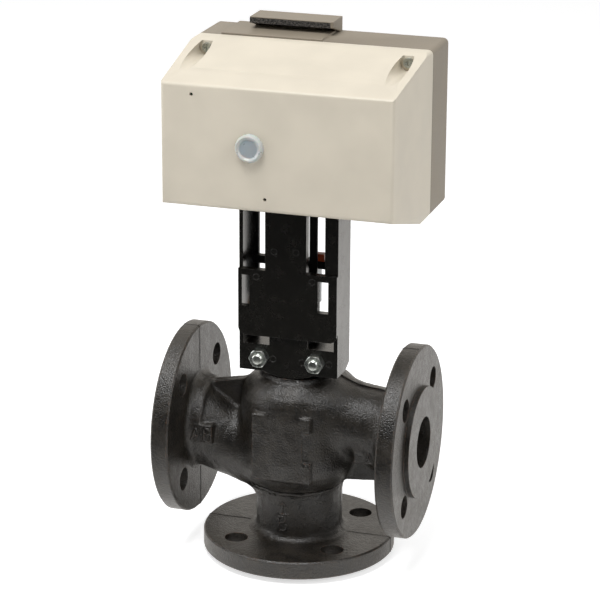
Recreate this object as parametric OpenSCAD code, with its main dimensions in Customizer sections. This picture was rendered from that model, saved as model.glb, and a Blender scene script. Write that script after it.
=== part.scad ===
// Three-way mixing valve with three flanged ports and an electric rack-and-pinion actuator.
// Lengths are millimetres. X runs along the two side ports, -Y is the front of the actuator
// and Z is up. The origin is the centre of the bottom port's sealing face.

/* [Port flanges] */
// Outside diameter of each flange
flange_d = 150; // [140:1:156]
// Whole thickness of a flange, raised face included
flange_t = 18; // [16:0.5:20]
// Diameter of the raised sealing face, as a share of the flange's diameter
raised_face_share = 0.58; // [0.56:0.01:0.6]
// Height of the raised sealing face
raised_face_h = 4; // [2:0.5:5]
// Chamfer on the rims of a flange
flange_chamfer = 1.2; // [0.5:0.1:2]
// Diameter of the flow passage at each port
port_d = 40; // [36:1:40]
// Diameter of the circle of bolt holes, as a share of the flange's diameter
bolt_circle_share = 0.73333; // [0.72:0.00001:0.76]
// Diameter of a bolt hole, as a share of the flange's diameter
bolt_hole_share = 0.12; // [0.1:0.01:0.12]
// Bolt holes in each flange
bolt_holes = 4; // [4:4:8]

/* [Valve body] */
// Distance between the sealing faces of the two side ports
face_to_face = 200; // [190:1:210]
// Height of the side ports' axis over the bottom sealing face
axis_h = 100; // [96:1:106]
// Radius of the round belly around the plug
belly_r = 45; // [43:0.5:48]
// Radius of the neck above the bottom flange
lower_neck_r = 33; // [31:0.5:36]
// Radius of a side duct where it meets its flange
duct_r = 35.5; // [32:0.5:37]
// Height of the casting's top face over the side ports' axis
top_rise = 50; // [48:0.5:54]
// Outside radius of the ring that the bonnet screws into
top_ring_r = 30; // [29:0.5:32]
// Width of the flat pad cast on the front of the belly
pad_w = 46.5; // [40:0.5:50]
// Height of that pad
pad_h = 53; // [46:1:56]
// Width of the notch in the pad's right edge
pad_notch_w = 6.3; // [4:0.1:8]
// Height of that notch
pad_notch_h = 24; // [18:1:28]
// Radius of a side duct in its narrow middle
duct_mid_r = 28; // [27:0.5:30]
// Thickness of the stiffening webs over the left duct and under the right one
web_t = 9; // [6:0.5:12]

/* [Seats and plug] */
// Drop of the lower seat's face below the side ports' axis
lower_seat_drop = 30; // [28:0.5:32]
// Clear height between the two seat faces
seat_span = 36; // [35:0.5:38]
// Bore radius of a seat ring
seat_bore_r = 17.5; // [16:0.25:18.5]
// Outside radius of a seat ring
seat_ring_r = 22.5; // [21.5:0.25:23.5]
// Length of a seat ring
seat_ring_h = 10; // [8:0.5:11]
// Height that a seat ring stands proud of its web
seat_proud = 2; // [1:0.25:3]
// Radius of the mixing chamber between the seats
chamber_r = 27; // [26:0.25:28]
// Valve stroke from one seat to the other
stroke = 16.5; // [12:0.5:17]
// Radius of the plug's seating disc
plug_r = 20.5; // [19.5:0.25:21.5]
// Length of each ported skirt of the plug
skirt_l = 30; // [24:0.5:32]
// Wall of the skirts
skirt_wall = 3; // [2:0.25:4]
// Ports cut in each skirt
skirt_ports = 4; // [3:1:6]

/* [Bonnet and stem] */
// Radius of the stem
stem_r = 5; // [4:0.25:6]
// Radius of the stem's lower thread
stem_thread_r = 4; // [3:0.25:4.5]
// Radius of the bonnet's thread in the body
bonnet_thread_r = 23.5; // [22:0.25:24]
// Length of that thread
bonnet_thread_l = 10; // [8:0.5:12]
// Radius of the bonnet's shoulder
bonnet_shoulder_r = 26; // [25.5:0.25:26]
// Thickness of the bonnet's shoulder
bonnet_shoulder_t = 3.7; // [3:0.1:5]
// Thickness of the gasket under the shoulder
gasket_t = 1; // [0.5:0.1:1.5]
// Radius of the bonnet's clamping neck
clamp_neck_r = 20; // [19.5:0.25:21]
// Height of the clamping neck over the shoulder
clamp_neck_h = 30; // [28:0.5:34]
// Outside radius of the stem's guide bush
guide_bush_r = 8; // [7:0.25:8.5]
// Length of the guide bush
guide_bush_l = 16; // [12:0.5:17]
// Outside radius of the packing rings
packing_r = 9.5; // [9:0.25:11]
// Height of one packing ring
packing_ring_h = 4; // [3:0.25:4]
// Number of packing rings
packing_rings = 4; // [2:1:4]
// Width across flats of the gland nut
gland_af = 24; // [22:0.5:27]
// Height of the gland nut's head
gland_head_h = 8; // [6:0.5:9]

/* [Yoke] */
// Width of the yoke
yoke_w = 78.2; // [76:0.2:82]
// Height of the yoke from its seat to its top plate's upper face
yoke_h = 137.3; // [134:0.1:142]
// Distance of the yoke's front face from the stem's axis
yoke_front = 29.6; // [29.6:0.2:32]
// Distance of the side walls' rear edge behind the stem's axis
yoke_rear = 2; // [1:0.5:4]
// Thickness of the yoke's walls
yoke_wall = 3; // [2.5:0.1:3.2]
// Height of the clamping block
clamp_h = 21.3; // [20:0.1:23]
// Height of the openings above the clamping nuts
nut_pocket_h = 7.5; // [5:0.5:9]
// Width of each of those openings
nut_pocket_w = 21; // [16:0.5:22]
// Amount that the front panel stands proud
panel_proud = 3; // [1.5:0.1:3]
// Height of the full-width part of the panel
panel_h = 52.5; // [48:0.5:56]
// Width of the panel's centre strip
strip_w = 32.5; // [28:0.5:34]
// Distance of the strip's centre to the left of the stem's axis
strip_shift = 1.35; // [0:0.05:2]
// Corner radius of the panel
panel_corner_r = 6; // [3:0.5:8]
// Thickness of the yoke's top plate
yoke_top_t = 6; // [5:0.5:7]
// Width of the right upper window
window_w = 13.8; // [11:0.1:15]
// Height of the sight slots in the panel
sight_h = 24.8; // [18:0.2:26]
// Drop of the sight slots' upper ends below the panel's upper edge
sight_drop = 4.7; // [4:0.1:8]
// Width of the left sight slot
sight_left_w = 6.1; // [4:0.1:7]
// Width of the right sight slot
sight_right_w = 8.3; // [6:0.1:9]
// Distance of the right sight slot to the right of the stem's axis
sight_right_x = 24; // [20:0.5:26]
// Width of the lips on the rear edges of the side walls
rear_lip_w = 3.1; // [2:0.1:4]
// Chamfer on the lower rear corner of the side walls
yoke_chamfer = 4; // [2:0.5:5]
// Bulge of the front wall's lower edge
bulge_h = 4; // [3:0.1:4]

/* [U-bolt] */
// Radius of the U-bolt's wire
ubolt_wire_r = 4; // [3.5:0.1:4.2]
// Height of the U-bolt over the yoke's lower edge
ubolt_rise = 11.5; // [10.5:0.1:12]
// Width across flats of its nuts
ubolt_nut_af = 13; // [12:0.5:14]
// Height of its nuts
ubolt_nut_h = 7.5; // [6:0.5:8]
// Length of thread that shows past a nut
ubolt_tip = 2.5; // [1:0.5:4]

/* [Stem coupling] */
// Height of the coupling's lower face over the clamping neck
coupling_rise = 17.5; // [17:0.5:20]
// Width of the coupling along the side ports' axis
coupling_w = 28; // [27:0.2:28.6]
// Depth of the coupling from front to back
coupling_d = 20; // [19:0.2:21]
// Height of the coupling
coupling_h = 31; // [28:0.5:32]
// Radius of the coupling screws' shanks
coupling_screw_r = 1.8; // [1.5:0.1:2]
// Radius of the guide arm's ring round the spindle
arm_ring_r = 10.5; // [10:0.1:11]
// Height of the guide arm
arm_h = 6; // [5:0.5:7]
// Distance of the guide arm's front face from the stem's axis
arm_front = 7; // [6:0.5:8]
// Width of the stroke indicator
indicator_w = 9; // [7:0.5:9]
// Height of the stroke indicator over the guide arm
indicator_h = 5.8; // [4:0.1:6]
// Width of the travel scale
scale_w = 6; // [5:0.1:6.5]
// Thickness of the travel scale
scale_t = 2; // [1.5:0.1:2.5]
// Distance of the travel scale's centre from the stem's axis
scale_x = 14.4; // [14:0.1:15]
// Distance of the travel scale in front of the stem's axis
scale_y = 13; // [12.5:0.1:14]

/* [Housing] */
// Width of the housing at the joint between cover and base
housing_w = 186.5; // [182:0.5:192]
// Width of the cover at its front face
cover_front_w = 179; // [176:0.5:182]
// Height of the housing at the joint
housing_h = 129.3; // [127:0.1:134]
// Depth of the yoke's end inside the housing
yoke_insert = 21; // [20:0.5:23]
// Distance of the cover's front face from the stem's axis
cover_front = 61; // [60:0.5:64]
// Distance of the joint behind the stem's axis
joint_y = 30.8; // [30.5:0.1:33]
// Distance of the base's back face from the stem's axis
base_back = 74.7; // [72:0.1:78]
// Rise of the cover's lower front edge over the housing's bottom
front_rise = 19.7; // [16:0.1:20]
// Drop of the cover's upper front edge below the housing's top
front_drop = 17.4; // [14:0.1:18]
// Depth of the level strip on top of the cover at the joint
level_top = 9; // [6:0.5:10]
// Depth of the level strip under the cover at the joint
level_bottom = 20; // [14:0.5:22]
// Wall of the cover and the base
housing_wall = 2.5; // [2:0.1:3]
// Corner radius of the housing
housing_r = 4; // [3:0.5:5]
// Radius of the cover's long front edges
cover_edge_r = 3; // [2:0.5:4]
// Thickness of the gasket in the joint
joint_gasket_t = 0.8; // [0.5:0.1:1.2]
// Radius of the pockets for the cover screws
screw_pocket_r = 6.5; // [5.5:0.25:7]
// Distance of each cover screw from the middle of the cover
cover_screw_x = 79; // [76:0.5:80]
// Drop of the cover screws below the housing's top
cover_screw_drop = 6.8; // [6.5:0.1:7.5]
// Distance of the cover screws' seat behind the stem's axis
cover_screw_seat = 14; // [12:0.5:15]
// Radius of the cover screws' shanks
cover_screw_r = 2; // [1.5:0.1:2.2]
// Radius of the cover screws' heads
cover_screw_head_r = 3.7; // [3.4:0.1:4]
// Radius of the two small holes in the front of the cover
front_hole_r = 1.3; // [1:0.1:1.6]
// Height of the raised panel on top of the base
plateau_h = 1.5; // [1:0.1:2]
// Width of that panel
plateau_w = 80.5; // [76:0.5:84]
// Distance of the panel's middle to the left of the stem's axis
plateau_shift = 34; // [32:0.5:36]
// Width of the cable entry hood
hood_w = 67; // [60:0.5:70]
// Distance of the hood's middle to the left of the stem's axis
hood_shift = 24.3; // [22:0.1:26]
// Depth of the hood's roof
hood_d = 24.5; // [20:0.5:26]
// Height of the hood over the housing's top
hood_h = 11; // [9:0.5:12]
// Thickness of the hood's roof
hood_roof_t = 5; // [4:0.25:6]
// Depth of the foam strip in the hood's front edge
seal_d = 4; // [3:0.25:5]

/* [Access plug] */
// Radius of the plug's head
access_head_r = 10.75; // [10.25:0.05:12]
// Height of the plug's head
access_head_h = 4.5; // [3:0.1:5]
// Radius of the hole in the cover
access_hole_r = 9.3; // [8.5:0.1:9.6]
// Length of the plug's shank
access_shank_l = 5; // [4:0.1:5.5]

/* [Drive train] */
// Teeth of the rack's pinion
rack_pinion_teeth = 18; // [17:1:18]
// Height of the housing in modules of the output gear
housing_modules = 103.44; // [103.44:0.02:106]
// Teeth of the output gear
output_teeth = 58; // [56:1:59]
// Teeth of the pinion that drives the output gear
idler_pinion_teeth = 12; // [12:1:13]
// Teeth of the gear that the motor drives
idler_teeth = 40; // [38:1:41]
// Teeth of the motor's pinion
motor_pinion_teeth = 10; // [10:1:11]
// Radius of the rack spindle
spindle_r = 8; // [7.8:0.1:8.2]
// Depth of the rack's pitch line inside the spindle's surface
rack_depth = 1.5; // [1.4:0.05:1.7]
// Gap between the output gear and the bearing block under it
gear_floor_gap = 1.35; // [1.2:0.05:2.5]
// Angle of the idler shaft over level, seen from the output shaft
idler_angle = 15; // [13:1:18]
// Angle of the motor below level, seen from the idler shaft
motor_angle = 25; // [20:1:30]
// Thickness of the front and rear gear plates
plate_t = 2; // [1.5:0.1:2.5]
// Clear distance between the gear plates
plate_gap = 40; // [39:0.5:41]
// Distance of the front gear plate's rear face from the stem's axis
plate_front = 12; // [12:0.1:13]
// Width of the bearing block
block_w = 64; // [60:0.5:68]
// Height of the bearing block
block_h = 7.8; // [7:0.1:8]
// Radius of the motor's can
motor_r = 18.5; // [16:0.5:19]
// Length of the motor's can
motor_l = 26; // [20:0.5:30]

/* [Hidden] */

// Smoothness of large and small round shapes
big_fn = 96;
small_fn = 32;
hex_fn = 6;
// Overrun of a cut past the face that it opens
over = 1;
// Clearance between pieces that pass each other
gap = 0.3;
// Radial clearance of a running fit
run = 0.05;
// Play of the gear teeth on the pitch circle
backlash = 0.2;

// Heights of the valve's seats
low_face_z = axis_h - lower_seat_drop;
up_face_z = low_face_z + seat_span;
floor_z = low_face_z - seat_proud;
roof_z = up_face_z + seat_proud;
low_ring_z = low_face_z - seat_ring_h;
up_ring_z = up_face_z + seat_ring_h;
body_top_z = axis_h + top_rise;
half_span = face_to_face / 2;
port_r = port_d / 2;
flange_r = flange_d / 2;
raised_face_r = flange_r * raised_face_share;
bolt_circle_r = flange_r * bolt_circle_share;
bolt_hole_r = flange_r * bolt_hole_share;

// Chain of heights from the casting to the actuator
shoulder_z = body_top_z + gasket_t;
yoke_z = shoulder_z + bonnet_shoulder_t;
ubolt_z = yoke_z + ubolt_rise;
neck_top_z = yoke_z + clamp_neck_h;
clamp_top_z = yoke_z + clamp_h;
panel_z = clamp_top_z + nut_pocket_h;
panel_top_z = panel_z + panel_h;
yoke_top_z = yoke_z + yoke_h;
plate_under_z = yoke_top_z - yoke_top_t;
housing_z = yoke_top_z - yoke_insert;
housing_top_z = housing_z + housing_h;
coupling_z = neck_top_z + coupling_rise;
coupling_top_z = coupling_z + coupling_h;
coupling_split_z = coupling_z + coupling_h / 2;

// Plug and stem
disc_z = low_face_z + gap;
disc_h = seat_span - stroke - 2 * gap;
skirt_r = seat_bore_r - gap;
lock_nut_h = stem_thread_r * 1.6;
stem_low_z = disc_z - lock_nut_h - stem_thread_r / 2;
stem_top_z = coupling_split_z;
stem_groove_h = stem_r * 0.8;
stem_neck_r = stem_r * 0.7;
spindle_neck_r = spindle_r * 0.7;
coupling_screw_x = (coupling_w / 2 + spindle_r) / 2;
coupling_screw_head_r = coupling_screw_r * 1.6;
indicator_peg_r = indicator_w / 6;

// Packing box in the bonnet
packing_floor_z = body_top_z + guide_bush_l - bonnet_thread_l + gasket_t;
packing_top_z = packing_floor_z + packing_rings * packing_ring_h;
gland_thread_r = packing_r;

// Yoke places
yoke_x = yoke_w / 2;
wall_x = yoke_x - yoke_wall;
panel_y = yoke_front + panel_proud;
strip_left = strip_shift + strip_w / 2;
strip_right = strip_w / 2 - strip_shift;
sight_z = panel_top_z - sight_h - sight_drop;
ubolt_r = clamp_neck_r + ubolt_wire_r - ubolt_wire_r * 0.44;
pocket_inner_x = wall_x - nut_pocket_w;

// Gear sizes. The teeth are short, so that small pinions clear the mating tips.
pressure = 25;
tip_share = 0.8;
root_share = 1.05;
function pitch_r(teeth, m) = teeth * m / 2;
function base_r(teeth, m) = pitch_r(teeth, m) * cos(pressure);
function tip_r(teeth, m) = pitch_r(teeth, m) + tip_share * m;
function root_r(teeth, m) = pitch_r(teeth, m) - root_share * m;

// Modules of the output gear, of the rack and of the gears at the motor
gear_module = housing_h / housing_modules;
rack_module = gear_module * 1.2;
fine_module = gear_module * 0.8;
block_top_z = yoke_top_z + block_h;
shaft_z = block_top_z + tip_r(output_teeth, gear_module) + gear_floor_gap;

// Shaft centres as [x, z], and lengths along Y
rack_pinion_r = pitch_r(rack_pinion_teeth, rack_module);
rack_pitch_x = -(spindle_r - rack_depth);
output_x = rack_pitch_x - rack_pinion_r;
idler_reach = pitch_r(output_teeth, gear_module) + pitch_r(idler_pinion_teeth, gear_module);
idler_x = output_x + idler_reach * cos(idler_angle);
idler_z = shaft_z + idler_reach * sin(idler_angle);
motor_reach = pitch_r(idler_teeth, fine_module) + pitch_r(motor_pinion_teeth, fine_module);
motor_x = idler_x + motor_reach * cos(motor_angle);
motor_z = idler_z - motor_reach * sin(motor_angle);
plate_back = plate_gap - plate_front;
front_plate_y = -plate_front - plate_t;
rear_plate_y = plate_back + plate_t;

// Widths of the gears along Y and their places
rack_pinion_w = spindle_r * 1.75;
output_gear_w = gear_module * 4.8;
output_gear_y = spindle_r + gear_module * 2.8;
idler_gear_w = fine_module * 5;
idler_gear_y = plate_back - idler_gear_w - fine_module * 2;
output_shaft_r = rack_module * 4;
idler_shaft_r = gear_module * 3.2;
motor_shaft_r = fine_module * 2.5;

// Rack spindle
spindle_z = coupling_split_z;
spindle_top_z = shaft_z + spindle_r * 4.2;
rack_low_z = shaft_z - stroke - spindle_r * 1.5;
rack_high_z = shaft_z + spindle_r * 1.5;
rack_pitch = PI * rack_module;
top_guide_z = rack_high_z + spindle_r * 1.5;
top_guide_h = spindle_r * 1.25;
bush_wall = spindle_r * 0.375;
bush_r = spindle_r + bush_wall;

// Gear plates and what holds them
pillar_r = plate_t * 2;
stud_r = plate_t;
plate_left = output_x - tip_r(output_teeth, gear_module) - pillar_r;
plate_right = motor_x + motor_r - pillar_r;
plate_top = shaft_z + tip_r(output_teeth, gear_module) + pillar_r;
plate_edge = pillar_r * 1.25;
pillar_x = [plate_left + plate_edge, plate_right - plate_edge];
pillar_z = [yoke_top_z + plate_edge * 1.8, plate_top - plate_edge];
plate_screw_r = plate_t * 0.8;
plate_screw_head = plate_t * 1.8;
plate_screw_l = plate_t * 2.5;
block_screw_r = plate_t * 1.3;
bush_proud = plate_t * 0.5;
output_bush_r = output_shaft_r + plate_t;
idler_bush_r = idler_shaft_r + plate_t * 0.75;
stud_l = plate_t * 7;

// Boards and switches in front of the gear plates
board_y = front_plate_y - plate_t * 8;
board_t = plate_t * 0.8;
board_w = plate_t * 20;
board_h = housing_h * 0.54;
board_x = -cover_front_w / 2 + housing_wall * 2;
board_z = yoke_top_z + plate_t * 4;
spacer_r = plate_t * 1.4;
cam_margin = plate_t * 0.65;
cam_base_r = output_shaft_r * 2.2;
cam_lobe_r = output_shaft_r * 2.6;
switch_t = plate_t * 3;
switch_w = plate_t * 12;
switch_h = plate_t * 6;
terminal_poles = 5;
terminal_w = board_w * 0.6;
terminal_d = plate_t * 6;
terminal_h = plate_t * 6;
shaft_front_y = -cover_front + housing_wall + access_shank_l;

// Housing
half_w = housing_w / 2;
front_half_w = cover_front_w / 2;
front_low_z = housing_z + front_rise;
front_high_z = housing_top_z - front_drop;
cover_back_y = joint_y - joint_gasket_t / 2;
base_front_y = joint_y + joint_gasket_t / 2;
tongue_y = yoke_rear + gap;
screw_z = housing_top_z - cover_screw_drop;
pocket_wall = housing_wall * 0.8;
cover_screw_l = cover_screw_r * 10;
seal_lip = housing_wall * 0.4;
hood_x = -hood_shift - hood_w / 2;
hood_y = base_back - hood_d;
hood_top_z = housing_top_z + hood_h;
hood_under_z = hood_top_z - hood_roof_t;
entry_w = hood_w * 0.6;
entry_d = hood_roof_t * 1.4;
// Places of the two small front holes, as shares of the front's half width and height
front_hole_x_shares = [-0.73, -0.094];
front_hole_z_shares = [0.918, 0.102];

// A cylinder along Y from y0 to y1
module rod_y(r, y0, y1, fn = small_fn) {
    translate([0, y1, 0]) rotate([90, 0, 0]) cylinder(h = y1 - y0, r = r, $fn = fn);
}

// A hexagonal bar along Y from y0 to y1, given its width across flats
module hex_y(af, y0, y1) {
    rod_y(af / sqrt(3), y0, y1, hex_fn);
}

// Places things at [x, z] points in the XZ plane
module at_xz(x, z) {
    translate([x, 0, z]) children();
}

// Extrudes an outline drawn in X and Z along Y from y0 to y1
module slab_y(y0, y1) {
    translate([0, y1, 0]) rotate([90, 0, 0]) linear_extrude(height = y1 - y0) children();
}

// Extrudes an outline drawn in Y and Z along X, centred
module slab_x(w) {
    rotate([90, 0, 90]) linear_extrude(height = w, center = true) children();
}

// Points of a round arc from angle a0 to a1
function arc(cx, cy, r, a0, a1, n = 6) =
    [for (i = [0 : n]) [cx + r * cos(a0 + (a1 - a0) * i / n), cy + r * sin(a0 + (a1 - a0) * i / n)]];

// A rectangle with round corners, from x0, y0 to x1, y1
module round_rect(x0, y0, x1, y1, r) {
    polygon(concat(arc(x1 - r, y1 - r, r, 0, 90), arc(x0 + r, y1 - r, r, 90, 180),
        arc(x0 + r, y0 + r, r, 180, 270), arc(x1 - r, y0 + r, r, 270, 360)));
}

// Half the angle that a tooth takes at radius r, from the involute of its base circle
function inv_deg(teeth, m, r) =
    let (t = sqrt(max(0, pow(r / base_r(teeth, m), 2) - 1))) t * 180 / PI - atan(t);
function half_tooth(teeth, m, r) =
    90 / teeth - backlash / 4 / pitch_r(teeth, m) * 180 / PI
    + inv_deg(teeth, m, pitch_r(teeth, m)) - inv_deg(teeth, m, r);

// Outline of a spur gear that has a tooth centred on the angle turn
module gear_outline(teeth, m, turn) {
    low = root_r(teeth, m);
    start = max(low, base_r(teeth, m));
    high = tip_r(teeth, m);
    radii = [low, start, (start + high) / 2, high];
    steps = len(radii) - 1;
    polygon([for (k = [0 : teeth - 1], side = [-1, 1], i = [0 : steps])
        let (r = radii[side < 0 ? i : steps - i], a = turn + k * 360 / teeth
            + side * half_tooth(teeth, m, r)) r * [cos(a), sin(a)]]);
}

// A spur gear whose axis is Y, between y0 and y1, at the shaft's centre
module spur_gear(teeth, m, turn, bore_r, y0, y1) {
    difference() {
        slab_y(y0, y1) gear_outline(teeth, m, turn);
        rod_y(bore_r, y0 - over, y1 + over);
    }
}

// Puts a copy at each port with its sealing face at z = 0 and the body above it
module at_ports() {
    children();
    translate([-half_span, 0, axis_h]) rotate([0, 90, 0]) children();
    translate([half_span, 0, axis_h]) rotate([0, -90, 0]) children();
}

module port_flange() {
    rotate_extrude($fn = big_fn) polygon([[0, 0], [raised_face_r, 0],
        [raised_face_r, raised_face_h], [flange_r - flange_chamfer, raised_face_h],
        [flange_r, raised_face_h + flange_chamfer], [flange_r, flange_t - flange_chamfer],
        [flange_r - flange_chamfer, flange_t], [0, flange_t]]);
}

module bolt_pattern() {
    for (k = [0 : bolt_holes - 1])
        rotate(45 + k * 360 / bolt_holes) translate([bolt_circle_r, 0, -over])
            cylinder(h = flange_t + 2 * over, r = bolt_hole_r, $fn = small_fn);
}

// A cone between two points of the XZ plane, with its radii
module duct(p0, r0, p1, r1) {
    d = p1 - p0;
    translate([p0[0], 0, p0[1]]) rotate([0, atan2(d[0], d[1]), 0])
        cylinder(h = norm(d), r1 = r0, r2 = r1, $fn = big_fn);
}

// Outer shape of the belly, as shares of its radius above and below the side ports' axis
module belly() {
    neck_z = axis_h - belly_r * 0.95;
    crown_r = belly_r * 0.58;
    crown_z = body_top_z - crown_r - belly_r * 0.06;
    heel_r = belly_r * 0.6;
    heel_z = neck_z + belly_r * 0.56;
    rotate_extrude($fn = big_fn) polygon(concat(
        [[0, flange_t / 2], [lower_neck_r * 1.13, flange_t / 2]],
        arc(lower_neck_r * 1.13, flange_t + lower_neck_r * 0.12, lower_neck_r * 0.13, 270, 180, 3),
        [[lower_neck_r, neck_z]],
        arc(belly_r - heel_r, heel_z, heel_r, -50, 0),
        arc(belly_r - crown_r, crown_z, crown_r, 0, 62),
        [[top_ring_r, body_top_z - belly_r * 0.08], [top_ring_r, body_top_z], [0, body_top_z]]));
}

// Bends of the side ducts as [x, z]: the left duct falls and the right one rises
left_start = [-half_span * 0.83, axis_h - top_rise * 0.06];
left_bend = [-half_span * 0.58, axis_h - top_rise * 0.28];
left_end = [-half_span * 0.15, axis_h - top_rise * 0.56];
right_start = [half_span * 0.83, axis_h + top_rise * 0.03];
right_bend = [half_span * 0.62, axis_h + top_rise * 0.18];
right_end = [half_span * 0.1, axis_h + top_rise * 0.36];

// A duct in two straight pieces from p0 over the bend p1 to p2; they overlap in the bend
module bent_duct(p0, r0, p1, r1, p2, r2) {
    duct(p0, r0, p1, r1);
    duct(p1 - (p2 - p1) * 0.1, r1 * 0.96, p2, r2);
}

// Outer shape of both side ducts; each starts level behind its flange
module duct_shells() {
    reach = half_span - flange_t / 2;
    for (side = [-1, 1])
        duct([side * reach, axis_h], duct_r, [side * half_span * 0.715, axis_h], duct_r * 0.89);
    bent_duct(left_start, duct_r * 0.94, left_bend, duct_mid_r, left_end, duct_mid_r);
    bent_duct(right_start, duct_r * 0.93, right_bend, duct_mid_r, right_end, duct_mid_r * 1.02);
}

// Stiffening webs: one over the left duct, one under the right duct
module duct_webs() {
    inner_x = top_ring_r * 0.7;
    slab_y(-web_t / 2, web_t / 2) {
        polygon([[-inner_x, axis_h], [-half_span * 0.7, axis_h],
            [-half_span * 0.755, axis_h + top_rise * 0.61], [-half_span * 0.42, axis_h + top_rise * 0.74],
            [-top_ring_r * 1.04, axis_h + top_rise * 0.85], [-inner_x, body_top_z - belly_r * 0.08]]);
        polygon([[inner_x, axis_h], [inner_x, axis_h - top_rise * 0.76],
            [half_span - flange_t / 2, axis_h - top_rise * 0.64], [half_span - flange_t / 2, axis_h]]);
    }
}

// Flat pad on the front of the belly, with the notch in its right edge
module front_pad() {
    pad_left = -pad_w * 0.53;
    pad_low = axis_h - pad_h * 0.545;
    notch_low = pad_low + pad_h * 0.32;
    slab_y(-belly_r - over, -belly_r * 0.6) difference() {
        translate([pad_left, pad_low]) square([pad_w, pad_h]);
        translate([pad_left + pad_w - pad_notch_w, notch_low])
            square([pad_notch_w + over, pad_notch_h]);
    }
}

// Everything that is hollow inside the casting
module flow_passages() {
    inlet_x = half_span - flange_t;
    // bottom port up to the lower seat
    translate([0, 0, -over]) cylinder(h = low_ring_z + 2 * over, r = port_r, $fn = big_fn);
    translate([0, 0, low_ring_z]) cylinder(h = seat_ring_h, r = seat_ring_r, $fn = big_fn);
    // mixing chamber
    translate([0, 0, floor_z]) cylinder(h = roof_z - floor_z, r = chamber_r, $fn = big_fn);
    // upper seat, upper chamber and bonnet thread
    translate([0, 0, up_face_z]) cylinder(h = seat_ring_h + over, r = seat_ring_r, $fn = big_fn);
    translate([0, 0, up_ring_z])
        cylinder(h = body_top_z - bonnet_thread_l - up_ring_z, r = chamber_r, $fn = big_fn);
    translate([0, 0, body_top_z - bonnet_thread_l - over])
        cylinder(h = bonnet_thread_l + 2 * over, r = bonnet_thread_r, $fn = big_fn);
    // straight side ports
    for (side = [-1, 1]) translate([side * (half_span + over), 0, axis_h]) rotate([0, -side * 90, 0])
        cylinder(h = flange_t + duct_r * 0.3 + over, r = port_r, $fn = big_fn);
    // left port down into the mixing chamber, right port up into the upper chamber
    bent_duct([-inlet_x, axis_h], port_r * 0.94, left_bend, port_r * 0.95,
        [-chamber_r * 0.6, low_face_z + seat_span * 0.42], port_r * 0.82);
    bent_duct([inlet_x, axis_h], port_r * 0.94, right_bend, port_r * 0.88,
        [chamber_r * 0.5, up_ring_z + port_r * 0.75], port_r * 0.55);
}

module valve_body() {
    pad_y = belly_r * 0.967;
    color("#33322e") difference() {
        union() {
            at_ports() port_flange();
            belly();
            duct_shells();
            duct_webs();
            front_pad();
        }
        // face of the pad
        translate([-belly_r, -pad_y - belly_r, flange_t + over])
            cube([2 * belly_r, belly_r, body_top_z - flange_t]);
        flow_passages();
        at_ports() bolt_pattern();
    }
}

module seat_ring(z) {
    translate([0, 0, z]) difference() {
        cylinder(h = seat_ring_h, r = seat_ring_r, $fn = big_fn);
        translate([0, 0, -over]) cylinder(h = seat_ring_h + 2 * over, r = seat_bore_r, $fn = big_fn);
    }
}

module lower_seat_ring() {
    color("#c9ccce") seat_ring(low_ring_z);
}

module upper_seat_ring() {
    color("#c9ccce") seat_ring(up_face_z);
}

// A tube along Z
module tube_z(z0, z1, outer, inner, fn = big_fn) {
    translate([0, 0, z0]) difference() {
        cylinder(h = z1 - z0, r = outer, $fn = fn);
        translate([0, 0, -over]) cylinder(h = z1 - z0 + 2 * over, r = inner, $fn = fn);
    }
}

// A solid round bar along Z
module bar_z(z0, z1, r, fn = big_fn) {
    translate([0, 0, z0]) cylinder(h = z1 - z0, r = r, $fn = fn);
}

module bonnet() {
    bonnet_z = body_top_z - bonnet_thread_l;
    color("#9a9c9b") difference() {
        union() {
            bar_z(bonnet_z, shoulder_z, bonnet_thread_r);
            bar_z(shoulder_z, yoke_z, bonnet_shoulder_r);
            bar_z(yoke_z, neck_top_z, clamp_neck_r);
        }
        bar_z(bonnet_z - over, bonnet_z + guide_bush_l, guide_bush_r);
        bar_z(bonnet_z, neck_top_z, stem_r + gap);
        bar_z(packing_floor_z, neck_top_z + over, packing_r);
        translate([0, 0, ubolt_z]) rotate_extrude($fn = big_fn) translate([ubolt_r, 0])
            circle(r = ubolt_wire_r + gap / 2, $fn = small_fn);
    }
}

module bonnet_gasket() {
    color("#5b5f63") tube_z(body_top_z, shoulder_z, bonnet_shoulder_r, bonnet_thread_r);
}

module stem_guide_bush() {
    bonnet_z = body_top_z - bonnet_thread_l;
    color("#b5863c") tube_z(bonnet_z, bonnet_z + guide_bush_l, guide_bush_r, stem_r + run);
}

module stem_packing() {
    color("#e8e6df") for (k = [0 : packing_rings - 1])
        tube_z(packing_floor_z + k * packing_ring_h, packing_floor_z + (k + 1) * packing_ring_h - run,
            packing_r, stem_r + run);
}

module gland_nut() {
    color("#b5863c") difference() {
        union() {
            bar_z(packing_top_z, neck_top_z, gland_thread_r);
            bar_z(neck_top_z, neck_top_z + gland_head_h, gland_af / sqrt(3), hex_fn);
        }
        bar_z(packing_top_z - over, neck_top_z + gland_head_h + over, stem_r + gap);
    }
}

module valve_stem() {
    groove_z = coupling_z + coupling_h / 4;
    color("#c9ccce") difference() {
        union() {
            bar_z(stem_low_z, disc_z + disc_h, stem_thread_r, small_fn);
            bar_z(disc_z + disc_h, stem_top_z, stem_r, small_fn);
        }
        tube_z(groove_z - stem_groove_h / 2, groove_z + stem_groove_h / 2, stem_r + over, stem_neck_r,
            small_fn);
    }
}

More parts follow.
